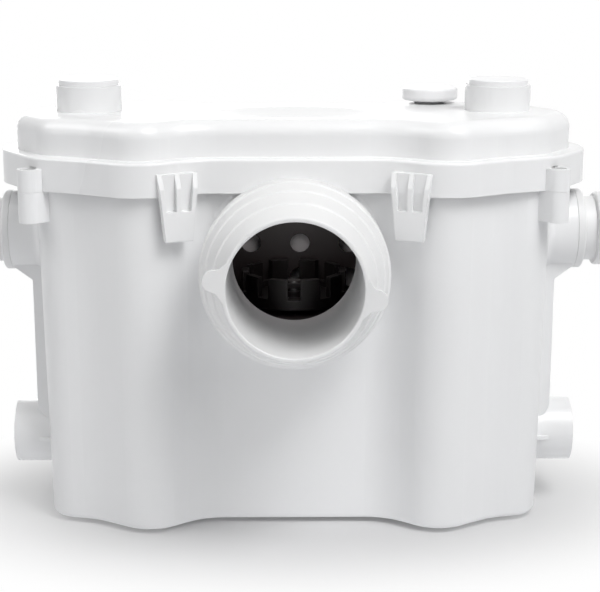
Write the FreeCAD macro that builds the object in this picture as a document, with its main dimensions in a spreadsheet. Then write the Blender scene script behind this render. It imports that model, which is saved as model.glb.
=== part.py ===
"""A sewage lifting station: a lobed tank with a flanged lid, a stepped rubber inlet for the
pan, four small side inlets, two lid ports, and a cutter, motor and pump on one upright shaft.
Millimetres. +Z is up, -Y is the front with the large inlet, +X is the right side seen from
the front, and the origin is on the floor under the middle of the tank."""

import FreeCAD, Part
import math
import os
import re
import Sketcher

Vector = FreeCAD.Vector
Rotation = FreeCAD.Rotation

doc = FreeCAD.newDocument("lifting_station")
sizes = doc.addObject("Spreadsheet::Sheet", "Sizes")

# Driving dimensions
DRIVING = {
    # Tank: half of its outline, drafted walls and floor
    "foot_height": 3, "foot_recess": 1.5, "foot_radius": 11,
    "foot_x": 140, "foot_y": 38,
    "tank_height": 262.5, "wall_thick": 3.2, "floor_thick": 4, "draft_angle": 0.9,
    "tank_side": 181, "tank_waist": 58.5, "waist_x": 66, "waist_round": 42,
    "lobe_x": 104, "tank_lobe": 88, "lobe_round": 30,
    "shoulder_x": 146, "tank_shoulder": 61, "shoulder_round": 50,
    "tank_corner": 53, "corner_round": 22, "base_round": 4,
    # Lid: its outline, skirt, raised top and scoop
    "lid_side": 213.6, "lid_flank": 14, "lid_waist": 70, "lid_waist_x": 68, "lid_waist_round": 42,
    "lid_lobe_x": 106, "lid_lobe": 98.5, "lid_lobe_round": 36,
    "lid_shoulder_x": 150, "lid_shoulder": 72, "lid_shoulder_round": 40,
    "lid_corner_x": 186, "lid_corner": 57, "lid_corner_round": 40,
    "skirt_drop": 16.5, "ledge_rise": 7.5, "lid_rise": 33.5, "lid_wall": 3, "ledge_width": 11,
    "ledge_round": 2, "dome_round": 11, "skirt_gap": 0.6, "rim_thick": 4,
    "scoop_radius": 76, "scoop_depth": 13, "scoop_front": 46,
    "gasket_inset": 5, "gasket_width": 3, "gasket_groove": 1.5, "seal_gap": 0.2,
    # Corner screw towers
    "tower_x": 186.5, "tower_y": 59.5, "tower_radius": 7.8, "tower_drop": 22, "ear_tall": 16,
    "tower_web": 14, "web_front": 6.7, "web_slope": 9.7, "ear_gap": 0.05,
    "screw_radius": 2.2, "screw_head": 4.6, "screw_head_tall": 3.4, "head_hole": 5.4,
    "seat_rise": 5, "screw_long": 24, "seam_gap": 0.3,
    # Snap tongues on the lid's front
    "tongue_x": 82, "tongue_y": 80.5, "tongue_turn": 24, "tongue_rise": 16, "tongue_drop": 31.5,
    "tongue_wide": 29.6, "tongue_narrow": 20, "tongue_deep": 7, "tongue_slope": 10,
    "rib_width": 3.4, "panel_drop": 10, "panel_deep": 3.4,
    # Front inlet and its stepped sleeve
    "inlet_height": 199, "inlet_bore": 45.5, "throat_bore": 44, "sleeve_wall": 3,
    "mouth_reach": 156, "third_reach": 137, "second_reach": 122, "first_reach": 111,
    "cuff_reach": 97, "boss_reach": 106, "boss_radius": 60, "boss_wall": 3.5,
    "first_ring": 65.5, "second_ring": 61.4, "third_ring": 55.6, "mouth_ring": 48.5,
    "throat_reach": 58, "ring_step": 1.4, "fit_gap": 0.1,
    "ear_reach": 61, "ear_width": 14.5, "ear_thick": 3, "ear_turn": 7,
    # Upper side inlets
    "side_drop": 54.5, "side_boss_radius": 29.5, "side_boss_reach": 208, "side_boss_bore": 25,
    "side_flange": 6, "side_neck": 9.4, "side_lip": 10.1,
    "side_neck_radius": 23.7, "side_lip_radius": 27.3, "side_bore": 20,
    "side_relief": 21, "side_plug_deep": 20,
    # Side pads, gussets and lower stubs
    "pad_reach": 193.5, "pad_half_width": 18, "pad_low": 68, "pad_end": 12,
    "gusset_low": 35, "gusset_top": 25, "flare_round": 6,
    "stub_height": 53.9, "stub_radius": 23.7, "stub_reach": 211.4, "stub_bore": 20,
    "fin_thick": 3, "fin_long": 11,
    # Flaps inside the lower stubs
    "seat_deep": 12, "seat_radius": 25, "flap_radius": 23, "flap_thick": 2.4, "flap_gap": 0.3,
    "hinge_rise": 29, "pin_radius": 1.6, "pin_gap": 0.06, "hinge_half": 12, "knuckle_half": 7,
    "hinge_ring": 3.6,
    # Lid ports, their caps and the vent
    "port_x": 150.5, "port_y": 6, "port_radius": 24.1, "port_tall": 18.6, "port_bore": 21,
    "cap_radius": 22, "cap_tall": 4.4, "plug_long": 13, "plug_wall": 2.4,
    "socket_wall": 3, "socket_deep": 31,
    "vent_x": 105, "vent_y": 56, "vent_radius": 21.5, "vent_tall": 9.4, "vent_lift": 2.4, "vent_wall": 5,
    "vent_neck": 8, "vent_bore": 5, "filter_radius": 17, "filter_tall": 9, "filter_wall": 2,
    # Basket and cutter
    "shaft_y": -6, "basket_half": 70, "basket_front": 55, "basket_rear": 42, "basket_low": 150,
    "basket_gap": 15.5, "basket_wall": 2.5, "basket_round": 10, "basket_window": 46,
    "basket_floor": 4,
    "hole_radius": 7.5, "hole_pitch": 38, "hole_shift": 5, "hole_rise": 27, "hole_row": 165,
    "floor_hole": 4,
    "cutter_radius": 39, "cutter_low": 158, "cutter_top": 181, "cutter_plate": 4,
    "cutter_rim": 5, "cutter_slot": 9, "cutter_slots": 12, "cutter_hub": 10, "cutter_boss": 10,
    # Motor
    "motor_radius": 46, "motor_low": 40, "motor_wall": 2.5, "motor_floor": 6, "cover_thick": 4,
    "stator_outer": 43.3, "stator_bore": 24.6, "stator_low": 68, "stator_top": 122,
    "rotor_radius": 24, "rotor_low": 65, "rotor_top": 125, "coil_thick": 9, "coil_gap": 0.3,
    "shaft_radius": 5, "shaft_low": 17, "shaft_top": 173, "run_gap": 0.05,
    "bearing_radius": 13, "bearing_tall": 8, "seal_radius": 9, "seat_wall": 4,
    # Pump
    "casing_radius": 47, "casing_wall": 4, "chamber_radius": 38, "chamber_shift": 3,
    "chamber_low": 18, "chamber_top": 35, "impeller_radius": 31, "impeller_plate": 3,
    "impeller_low": 21, "impeller_top": 33, "blade_thick": 2.5, "blade_count": 6,
    "hub_radius": 9, "plate_thick": 3, "suction_radius": 14, "leg_radius": 5, "leg_circle": 41,
    "nut_across": 5.5, "nut_tall": 4,
    # Discharge line
    "pipe_radius": 12.5, "pipe_bore": 10, "outlet_y": 20, "outlet_height": 28.4,
    "spout_radius": 10.3, "spout_bore": 8, "nozzle_reach": 58,
    "elbow_x": 84, "elbow_bend": 20, "elbow_top": 66,
    "valve_radius": 24, "valve_bore": 21, "valve_low": 66, "valve_top": 112,
    "valve_seat": 78, "check_radius": 13, "check_thick": 2.4,
    "riser_radius": 16, "riser_bore": 13, "riser_bend": 40, "riser_start": 132,
    "riser_finish": 206, "riser_drop": 9, "ring_drop": 17, "ring_tall": 4,
    # Electrics
    "box_left": 74, "box_right": 158, "box_front": 14, "box_rear": 54, "box_drop": 62.5,
    "box_tall": 44, "box_wall": 2.5, "box_cover": 3, "box_round": 5,
    "capacitor_radius": 13, "capacitor_long": 42, "can_round": 1.5, "switch_radius": 13, "switch_tall": 16,
    "probe_x": 138, "probe_y": 34, "probe_radius": 6, "probe_bore": 4, "probe_low": 15,
    "plunger_radius": 3, "plunger_long": 9,
    "gland_x": 104, "gland_rise": 29, "gland_radius": 9, "gland_bore": 4, "gland_nut": 12,
    "gland_flange": 5, "gland_cone": 13, "gland_long": 18,
}
# Heights and places that follow from them
DERIVED = {
    "rim_top": "foot_height + tank_height",
    "skirt_low": "rim_top - skirt_drop", "ledge_top": "rim_top + ledge_rise",
    "lid_top": "rim_top + lid_rise", "ear_top": "skirt_low + ear_tall",
    "tower_low": "skirt_low - tower_drop", "screw_seat": "skirt_low + seat_rise",
    "tongue_top": "skirt_low + tongue_rise", "tongue_low": "skirt_low - tongue_drop",
    "panel_low": "skirt_low - panel_drop", "socket_low": "lid_top - socket_deep",
    "box_low": "rim_top - box_drop", "box_top": "box_low + box_tall",
    "gland_height": "box_low + gland_rise", "basket_top": "rim_top - basket_gap",
    "riser_top": "lid_top - riser_drop", "riser_ring": "lid_top - ring_drop",
    "tank_floor": "foot_height + floor_thick", "side_height": "rim_top - side_drop",
    "side_flange_reach": "side_boss_reach + side_flange",
    "side_neck_reach": "side_flange_reach + side_neck",
    "side_lip_reach": "side_neck_reach + side_lip",
}
for row, (name, value) in enumerate([*DRIVING.items(), *DERIVED.items()], start=1):
    sizes.set("A%d" % row, name)
    sizes.set("B%d" % row, "=%s" % value if name in DERIVED else str(value))
    sizes.setAlias("B%d" % row, name)
doc.recompute()


def bind(text):
    """An expression in plain size names, written for the sheet."""
    return re.sub(r"[a-z]+(?:_[a-z]+)+", lambda found: "Sizes." + found.group(0), str(text))


def num(text):
    """The present value of such an expression."""
    return float(sizes.evalExpression(bind(text)))


def tie(thing, **bound):
    """Bind an object's properties to expressions."""
    for key, text in bound.items():
        thing.setExpression(key, bind(text))
    return thing


def place(thing, at=(0, 0, 0), turn=None):
    """Put an object at a bound place, turned by a fixed rotation."""
    thing.Placement = FreeCAD.Placement(Vector(), turn or Rotation())
    for axis, text in zip("xyz", at):
        thing.setExpression("Placement.Base." + axis, bind(text))
    return thing


TO_FRONT = Rotation(Vector(1, 0, 0), 90)
TO_RIGHT = Rotation(Vector(0, 1, 0), 90)
TO_LEFT = Rotation(Vector(0, 1, 0), -90)
TO_REAR = Rotation(Vector(1, 0, 0), -90)
ACROSS = Rotation(Vector(1, 1, 1), 120)


def draw_outline(sketch, corners, closed=True):
    """An outline or an open path through corners of (across, up, round), each round drawn as
    an arc tangent to both of its lines."""
    spots = [tuple(num(part) for part in corner) for corner in corners]
    count = len(spots)
    entry, leave, centre, left = [], [], [], []
    for i, (x, y, radius) in enumerate(spots):
        here = Vector(x, y, 0)
        back = (Vector(*spots[i - 1][:2], 0) - here).normalize()
        ahead = (Vector(*spots[(i + 1) % count][:2], 0) - here).normalize()
        half = math.acos(max(-1, min(1, back.dot(ahead)))) / 2
        entry.append(here + back * (radius / math.tan(half)))
        leave.append(here + ahead * (radius / math.tan(half)))
        centre.append(here + (back + ahead).normalize() * (radius / math.sin(half)) if radius else here)
        left.append(back.cross(ahead).z < 0)
    runs = count if closed else count - 1
    lines = [
        sketch.addGeometry(Part.LineSegment(leave[i], entry[(i + 1) % count])) for i in range(runs)
    ]
    for i, (x, y, radius) in enumerate(corners):
        before, after = lines[i - 1], lines[i % runs]
        held = (after, 1)
        if not closed and i in (0, runs):
            held = (lines[0], 1) if i == 0 else (lines[-1], 2)
        elif spots[i][2]:
            angles = [math.atan2(p.y - centre[i].y, p.x - centre[i].x) for p in (entry[i], leave[i])]
            first, last = (1, 2) if left[i] else (2, 1)
            if not left[i]:
                angles.reverse()
            circle = Part.Circle(centre[i], Vector(0, 0, 1), spots[i][2])
            arc = sketch.addGeometry(Part.ArcOfCircle(circle, *angles))
            sketch.addConstraint(Sketcher.Constraint("Tangent", before, 2, arc, first))
            sketch.addConstraint(Sketcher.Constraint("Tangent", arc, last, after, 1))
            bound = sketch.addConstraint(Sketcher.Constraint("Radius", arc, spots[i][2]))
            sketch.setExpression("Constraints[%d]" % bound, bind(radius))
            mark = sketch.addGeometry(Part.Point(Vector(*spots[i][:2], 0)), True)
            sketch.addConstraint(Sketcher.Constraint("PointOnObject", mark, 1, before))
            sketch.addConstraint(Sketcher.Constraint("PointOnObject", mark, 1, after))
            held = (mark, 1)
        else:
            sketch.addConstraint(Sketcher.Constraint("Coincident", before, 2, after, 1))
        for kind, text, value in (("DistanceX", x, spots[i][0]), ("DistanceY", y, spots[i][1])):
            bound = sketch.addConstraint(Sketcher.Constraint(kind, -1, 1, *held, value))
            sketch.setExpression("Constraints[%d]" % bound, bind(text))
    return sketch


def four_ways(quarter):
    """The front right quarter's corners, mirrored to the other three quarters."""
    mirrored = [("-(%s)" % x, y, r) for x, y, r in quarter]
    rear = [(x, "-(%s)" % y, r) for x, y, r in quarter]
    far = [("-(%s)" % x, "-(%s)" % y, r) for x, y, r in quarter]
    return quarter + rear[::-1] + far + mirrored[::-1]


def outline(name, corners):
    """A flat sketch of its own, for solids that share it."""
    return draw_outline(doc.addObject("Sketcher::SketchObject", name), corners)


def inset(source, amount):
    """The same outline, drawn in by an amount."""
    ring = doc.addObject("Part::Offset2D", source.Name + "_inset")
    ring.Source = source
    ring.Join = "Arc"
    return tie(ring, Value="-(%s)" % amount)


def upright(source, low, high, draft=None, turn=None):
    """A solid on an outline, between two heights, its walls drafted if asked. A turned one
    stands out to the front, or runs along X with its outline across and up."""
    solid = doc.addObject("Part::Extrusion", source.Name + "_solid")
    solid.Base = source
    solid.DirMode = "Custom"
    solid.Dir = Vector(0, 0, 1)
    solid.Solid = True
    tie(solid, LengthFwd="(%s) - (%s)" % (high, low))
    if draft:
        tie(solid, TaperAngle=draft)
    if turn is TO_FRONT:
        return place(solid, (0, "-(%s)" % low, 0), turn)
    return place(solid, (low, 0, 0) if turn is ACROSS else (0, 0, low), turn)


def rod(radius, low, high, at=("0", "0"), turn=None):
    """A round rod between two heights along its axis; turned ones lie along X or Y."""
    solid = doc.addObject("Part::Cylinder", "rod")
    tie(solid, Radius=radius, Height="(%s) - (%s)" % (high, low))
    across, along = at
    if turn is None:
        return place(solid, (across, along, low))
    if turn is TO_RIGHT:
        return place(solid, (low, across, along), turn)
    if turn is TO_LEFT:
        return place(solid, ("-(%s)" % low, across, along), turn)
    if turn is TO_FRONT:
        return place(solid, (across, "-(%s)" % low, along), turn)
    return place(solid, (across, low, along), turn)


def block(low, high):
    """A box between two bound corners."""
    solid = doc.addObject("Part::Box", "block")
    spans = ["(%s) - (%s)" % (b, a) for a, b in zip(low, high)]
    tie(solid, Length=spans[0], Width=spans[1], Height=spans[2])
    return place(solid, low)


def fuse(*solids):
    whole = doc.addObject("Part::MultiFuse", "joined")
    whole.Shapes = list(solids)
    whole.Refine = True
    return whole


def cut(base, *tools):
    left = doc.addObject("Part::Cut", "cut")
    left.Base = base
    left.Tool = tools[0] if len(tools) == 1 else fuse(*tools)
    return left


def common(first, second):
    shared = doc.addObject("Part::MultiCommon", "shared")
    shared.Shapes = [first, second]
    return shared


def mirror(source, normal=(1, 0, 0)):
    """A copy on the other side of the middle plane."""
    copy = doc.addObject("Part::Mirroring", "mirrored")
    copy.Source = source
    copy.Normal = Vector(*normal)
    return copy


def origin_plane(body, role):
    return next(item for item in body.Origin.OriginFeatures if item.Role == role)


def body_sketch(body, role, name="profile"):
    sketch = body.newObject("Sketcher::SketchObject", name)
    sketch.AttachmentSupport = [(origin_plane(body, role), "")]
    sketch.MapMode = "FlatFace"
    return sketch


def turned(corners, at=(0, 0, 0), turn=None):
    """A body turned about its own Z axis from a profile of (radius, height, round)."""
    body = doc.addObject("PartDesign::Body", "turned")
    profile = draw_outline(body_sketch(body, "XZ_Plane"), corners)
    turning = body.newObject("PartDesign::Revolution", "turning")
    turning.Profile = profile
    turning.ReferenceAxis = (profile, ["V_Axis"])
    turning.Angle = 360
    return place(body, at, turn)


def ring(inner, outer, low, high, at=("0", "0")):
    """A plain ring about an upright axis."""
    return turned([(inner, low, 0), (outer, low, 0), (outer, high, 0), (inner, high, 0)], (*at, 0))


def soften(source, radius, wanted):
    """A body that takes a solid and rounds the edges that the test picks."""
    body = doc.addObject("PartDesign::Body", "softened")
    body.BaseFeature = source
    body.Placement = source.Placement
    for path, text in source.ExpressionEngine:
        if "Placement" in path:
            body.setExpression(path, text)
    doc.recompute()
    edges = ["Edge%d" % (i + 1) for i, edge in enumerate(source.Shape.Edges) if wanted(edge)]
    rounding = body.newObject("PartDesign::Fillet", "rounding")
    rounding.Base = (body.Group[0], edges)
    tie(rounding, Radius=radius)
    return body


def at_height(height):
    """Picks the edges that lie level at a height."""
    level = num(height)
    return lambda edge: all(abs(p.z - level) < 0.01 for p in edge.discretize(5))


pieces = {}


def keep(name, thing):
    """Name a finished sub-part; its label names its file."""
    thing.Label = name
    pieces[name] = thing
    return thing


SHAFT = ("0", "shaft_y")

# Outlines that the casing's pieces share
tank_outline = outline("TankOutline", four_ways([
    ("waist_x", "-tank_waist", "waist_round"),
    ("lobe_x", "-tank_lobe", "lobe_round"),
    ("shoulder_x", "-tank_shoulder", "shoulder_round"),
    ("tank_side", "-tank_corner", "corner_round"),
]))
lid_outline = outline("LidOutline", four_ways([
    ("lid_waist_x", "-lid_waist", "lid_waist_round"),
    ("lid_lobe_x", "-lid_lobe", "lid_lobe_round"),
    ("lid_shoulder_x", "-lid_shoulder", "lid_shoulder_round"),
    ("lid_corner_x", "-lid_corner", "lid_corner_round"),
    ("lid_side", "-lid_flank", "lid_corner_round"),
]))
TOWERS = [(sx + "tower_x", sy + "tower_y") for sx in ("", "-") for sy in ("", "-")]
REAR_WALL = "TankOutline.Shape.BoundBox.YMax + (gland_height + gland_nut - foot_height) * tan(draft_angle)"
SEAT_FACE = "tank_side - wall_thick - seat_deep"
HINGE_X = "tank_side - wall_thick - seat_deep - flap_gap - flap_thick / 2"
HINGE_Z = "stub_height + hinge_rise"
BORE = "shaft_radius + run_gap"


def side_pad():
    """The raised pad on a side wall, with the gusset that carries the upper inlet."""
    profile = outline("PadOutline", [
        (0, "pad_low", 0),
        ("pad_reach", "pad_low", "pad_end"),
        ("pad_reach", "side_height - gusset_low", 2),
        ("side_boss_reach - 1", "side_height - gusset_top", 0),
        ("side_boss_reach - 1", "side_height", 0),
        (0, "side_height", 0),
    ])
    return upright(profile, "-pad_half_width", "pad_half_width", turn=TO_FRONT)


def stub_fin():
    """The three-cornered fin in front of a lower stub."""
    profile = outline("FinOutline", [
        ("tank_side - 2", "-stub_radius - 4", 0),
        ("tank_side + fin_long + 8", "-stub_radius + 2", 0),
        ("tank_side - 2", "-stub_radius + 2", 0),
    ])
    return upright(profile, "stub_height - fin_thick / 2", "stub_height + fin_thick / 2")


def seat_ears():
    """The two ears that hold a flap's pin over its seat."""
    low = (HINGE_X + " - hinge_ring", "-hinge_half", "stub_height + seat_radius - 1.5")
    high = ("tank_side - 1", "hinge_half", HINGE_Z + " + hinge_ring")
    gap_low = (HINGE_X + " - hinge_ring - 1", "-knuckle_half - 0.3", "stub_height + flap_radius - 1")
    gap_high = (SEAT_FACE + " + 3", "knuckle_half + 0.3", HINGE_Z + " + hinge_ring + 1")
    return cut(block(low, high), block(gap_low, gap_high))


def boss(radius, reach, wall, place_at, turn):
    """A round boss whose foot flares into the wall that it stands on."""
    return turned([
        (0, wall + " - 20", 0), (radius + " + flare_round", wall + " - 20", 0),
        (radius + " + flare_round", wall, 0), (radius, wall, "flare_round * 0.99"),
        (radius, reach, 0), (0, reach, 0),
    ], place_at, turn)


# Tank: a drafted shell with a rim, inlet bosses, side pads, stubs and screw towers
tank_mass = upright(tank_outline, "foot_height", "rim_top", "draft_angle")
rounded_tank = soften(tank_mass, "base_round", at_height("foot_height"))
rim = upright(inset(lid_outline, "lid_wall + skirt_gap"), "rim_top - rim_thick", "rim_top")
outside = [rounded_tank, rim,
           boss("boss_radius", "boss_reach", "tank_waist + 4", (0, 0, "inlet_height"), TO_FRONT)]
for turn, sign in ((TO_RIGHT, 1), (TO_LEFT, -1)):
    outside.append(
        boss("side_boss_radius", "side_boss_reach", "tank_side + 4", (0, 0, "side_height"), turn))
    outside.append(rod("stub_radius", "0", "stub_reach", ("0", "stub_height"), turn))
    outside += [side_pad(), stub_fin()] if sign > 0 else [mirror(side_pad()), mirror(stub_fin())]
for x, y in TOWERS:
    outside.append(rod("tower_radius", "tower_low", "skirt_low - ear_gap", (x, y)))
web_outline = outline("WebOutline", [
    ("tower_x - 4", "-tower_y - web_front", 0), ("tower_x", "-tower_y", 0),
    ("tower_x - 4", "-tower_y + 2 * web_slope", 0),
    ("tower_x - tower_web", "-tower_y + 2 * web_slope", 0),
    ("tower_x - tower_web", "-tower_y - web_front + web_slope", 0),
])
web = upright(web_outline, "tower_low", "skirt_low - ear_gap")
webs = [web, mirror(web)]
outside += webs + [mirror(item, (0, 1, 0)) for item in webs]
cavity = upright(inset(tank_outline, "wall_thick"), "tank_floor", "rim_top + 1", "draft_angle")
hollow = cut(fuse(*outside), cavity)
seat = fuse(rod("seat_radius", SEAT_FACE, "tank_side - 1", ("0", "stub_height"), TO_RIGHT), seat_ears())
shelf = fuse(*[
    block((x, y, "box_low - 10"), (x + " + 4", "tank_lobe", z))
    for x in ("box_left + 8", "box_right - 10")
    for y, z in (("box_front + 6", "box_low"), ("box_rear", "box_top - 10"))
])
inside = [hollow, seat, mirror(seat), common(shelf, tank_mass)]
gasket_slot = cut(
    upright(inset(lid_outline, "gasket_inset"), "rim_top - gasket_groove", "rim_top + 1"),
    upright(inset(lid_outline, "gasket_inset + gasket_width"), "rim_top - gasket_groove",
            "rim_top + 1"),
)
bores = [rod("boss_radius - boss_wall", "50", "boss_reach + 1", ("0", "inlet_height"), TO_FRONT)]
bores.append(gasket_slot)
for turn in (TO_RIGHT, TO_LEFT):
    bores.append(rod("side_boss_bore", "150", "side_boss_reach + 1", ("0", "side_height"), turn))
    bores.append(rod("stub_bore", "150", "stub_reach + 1", ("0", "stub_height"), turn))
for x, y in TOWERS:
    bores.append(rod("screw_radius + run_gap", "skirt_low - 20", "skirt_low", (x, y)))
FEET = [(sx + "foot_x", sy + "foot_y") for sx in ("", "-") for sy in ("", "-")] + [("0", "0")]
for x, y in FEET:
    bores.append(rod("foot_radius + fit_gap", "0", "foot_height + foot_recess", (x, y)))
bores.append(rod("gland_radius + fit_gap", "60", REAR_WALL + " + 5", ("gland_x", "gland_height"), TO_REAR))
pin_hole = rod("pin_radius", "-hinge_half - 1", "hinge_half + 1", (HINGE_X, HINGE_Z), TO_REAR)
bores += [pin_hole, mirror(pin_hole)]
keep("tank", cut(fuse(*inside), *bores))
keep("rubber_feet", fuse(*[rod("foot_radius", "0", "foot_height + foot_recess", spot) for spot in FEET]))

# Lid: skirt, ledge and raised top, with a scoop, port collars, vent neck, ears and tongues
skirt = soften(
    upright(lid_outline, "skirt_low", "ledge_top"), "ledge_round", at_height("ledge_top"))
dome = soften(
    upright(inset(lid_outline, "ledge_width"), "ledge_top - 1", "lid_top"), "dome_round",
    at_height("lid_top"))
inner_dome = soften(
    upright(inset(lid_outline, "ledge_width + lid_wall"), "skirt_low", "lid_top - lid_wall"),
    "dome_round - lid_wall", at_height("lid_top - lid_wall"))
skirt_hollow = upright(inset(lid_outline, "lid_wall"), "tongue_low - 1", "ledge_top - lid_wall")


def scoop(extra, top):
    """The half-round hollow of the lid's front: part of a large ball, cut off by a wall."""
    radius = "(scoop_radius ^ 2 + scoop_depth ^ 2) / (2 * scoop_depth)"
    ball = doc.addObject("Part::Sphere", "ball")
    tie(ball, Radius=radius + " + " + extra)
    place(ball, (0, "-scoop_front", "lid_top - scoop_depth + " + radius))
    room = block(("-scoop_radius * 1.2", "-scoop_front - (%s)" % extra, "lid_top - scoop_depth * 2"),
                 ("scoop_radius * 1.2", "scoop_radius", top))
    return common(ball, room)


def tongue():
    """A snap tongue: a tapered pad with three ribs, sloped into the skirt at its top."""
    face = outline("TongueFace", [
        ("-tongue_narrow / 2", "tongue_low", 1), ("tongue_narrow / 2", "tongue_low", 1),
        ("tongue_wide / 2", "tongue_top", 0), ("-tongue_wide / 2", "tongue_top", 0),
    ])
    side = outline("TongueSide", [
        ("-tongue_deep", "tongue_low", 1), ("-2", "tongue_low + 2", 0), ("-2", "skirt_low - 2", 0),
        (2, "skirt_low + 3", 0), (2, "tongue_top", 0), ("-tongue_deep + panel_deep", "tongue_top", 0),
        ("-tongue_deep", "tongue_top - tongue_slope", 4),
    ])
    body = common(upright(face, "-3", "tongue_deep + 1", turn=TO_FRONT),
                  upright(side, "-tongue_wide", "tongue_wide", turn=ACROSS))
    panels = []
    for sign in ("", "-"):
        panel = outline("PanelOutline", [
            (sign + "(rib_width / 2)", "panel_low", 1), (sign + "(rib_width / 2)", "tongue_top + 1", 0),
            (sign + "(tongue_wide / 2 - rib_width)", "tongue_top + 1", 0),
            (sign + "(tongue_wide / 2 - rib_width - 2.4)", "panel_low", 1),
        ])
        panels.append(upright(panel, "tongue_deep - panel_deep", "tongue_deep + 2", turn=TO_FRONT))
    whole = doc.addObject("PartDesign::Body", "tongue")
    whole.BaseFeature = cut(body, *panels)
    place(whole, ("tongue_x", "-tongue_y", 0), Rotation(Vector(0, 0, 1), 0))
    return tie(whole, **{"Placement.Rotation.Angle": "-tongue_turn"})


tongue_right = tongue()
outer = [skirt, dome, tongue_right, mirror(tongue_right)]
PORTS = ("", "-")
for sign in PORTS:
    outer.append(rod("port_radius", "lid_top - 2", "lid_top + port_tall", (sign + "port_x", "port_y")))
ear = fuse(rod("tower_radius", "skirt_low", "ear_top", ("tower_x", "-tower_y")),
           upright(web_outline, "skirt_low", "ear_top"))
ears = [ear, mirror(ear)]
outer += ears + [mirror(item, (0, 1, 0)) for item in ears]
outer.append(rod("vent_neck", "lid_top - 2", "lid_top + vent_lift + 2", ("vent_x", "vent_y")))
lid_shell = cut(fuse(*outer), skirt_hollow, inner_dome)
linings = [lid_shell, scoop("lid_wall", "lid_top - 1")]
SOCKET = "riser_radius + socket_wall - 0.4"
for sign in PORTS:
    linings.append(rod(SOCKET + " + socket_wall", "socket_low", "lid_top - 1", (sign + "port_x", "port_y")))
CUP = "lid_top - lid_wall - filter_tall"
linings.append(rod("filter_radius + fit_gap + filter_wall", CUP + " - filter_wall", "lid_top - 1",
                   ("vent_x", "vent_y")))
openings = [scoop("0", "lid_top + 2")]
openings.append(rod("boss_radius + seam_gap", "tank_waist", "boss_reach", ("0", "inlet_height"), TO_FRONT))
for sign in PORTS:
    spot = (sign + "port_x", "port_y")
    openings.append(rod("port_bore", "lid_top - 0.5", "lid_top + port_tall + 1", spot))
    openings.append(rod(SOCKET, "socket_low - 1", "lid_top", spot))
openings.append(rod("vent_bore", CUP + " - 5", "lid_top + vent_lift + 3", ("vent_x", "vent_y")))
openings.append(rod("filter_radius + fit_gap", CUP, "lid_top - lid_wall", ("vent_x", "vent_y")))
for x, y in TOWERS:
    openings.append(rod("screw_radius + 0.3", "skirt_low - 1", "screw_seat + 1", (x, y)))
    openings.append(rod("head_hole", "screw_seat", "ear_top + 1", (x, y)))
keep("lid", cut(fuse(*linings), *openings))

keep("lid_gasket", cut(
    upright(inset(lid_outline, "gasket_inset + fit_gap"), "rim_top - gasket_groove",
            "ledge_top - lid_wall - seal_gap"),
    upright(inset(lid_outline, "gasket_inset + gasket_width - fit_gap"), "rim_top - gasket_groove",
            "ledge_top - lid_wall - seal_gap"),
))
screws = []
for x, y in TOWERS:
    screws.append(fuse(rod("screw_radius", "screw_seat - screw_long", "screw_seat + 1", (x, y)),
                       rod("screw_head", "screw_seat", "screw_seat + screw_head_tall", (x, y))))
keep("lid_screws", fuse(*screws))

# Port caps, vent cap and vent filter
for side, sign in (("right", ""), ("left", "-")):
    plug = "port_bore - fit_gap"
    keep("port_cap_" + side, turned([
        (0, "cap_tall", 0), (0, "cap_tall - 2.2", 0), (plug + " - plug_wall", "cap_tall - 2.2", 0),
        (plug + " - plug_wall", "-plug_long", 0), (plug, "-plug_long", 0.6), (plug, 0, 0),
        ("cap_radius", 0, 0), ("cap_radius", "cap_tall", 1),
    ], (sign + "port_x", "port_y", "lid_top + port_tall")))
keep("vent_cap", turned([
    (0, "vent_tall", 0), (0, "vent_tall - 3", 0), ("vent_neck + fit_gap", "vent_tall - 3", 0),
    ("vent_neck + fit_gap", "-vent_lift + seal_gap", 0), ("vent_neck + 4", "-vent_lift + seal_gap", 0),
    ("vent_neck + 2", "-1", 0), ("vent_neck + 2", "vent_tall - 3", 0),
    ("vent_radius - vent_wall", "vent_tall - 3", 0), ("vent_radius - vent_wall", 0, 0),
    ("vent_radius", 0, 3),
    ("vent_radius", "vent_tall", 1.6),
], ("vent_x", "vent_y", "lid_top + vent_lift")))
keep("vent_filter", turned([
    ("vent_bore", 0, 0), ("filter_radius", 0, 1), ("filter_radius", "filter_tall - seal_gap", 1),
    ("vent_bore", "filter_tall - seal_gap", 0),
], ("vent_x", "vent_y", CUP)))

# Inlet sleeve: a stepped cone with beaded ridges, a cuff over the boss, a straight bore and
# two pull ears in the plane of its mouth


def step(radius, reach):
    """One rounded step of the cone, from its mouth side to its tank side."""
    return [("%s - ring_step" % radius, "%s + ring_step / 2" % reach, 0.4), (radius, reach, 0.7)]


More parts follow.
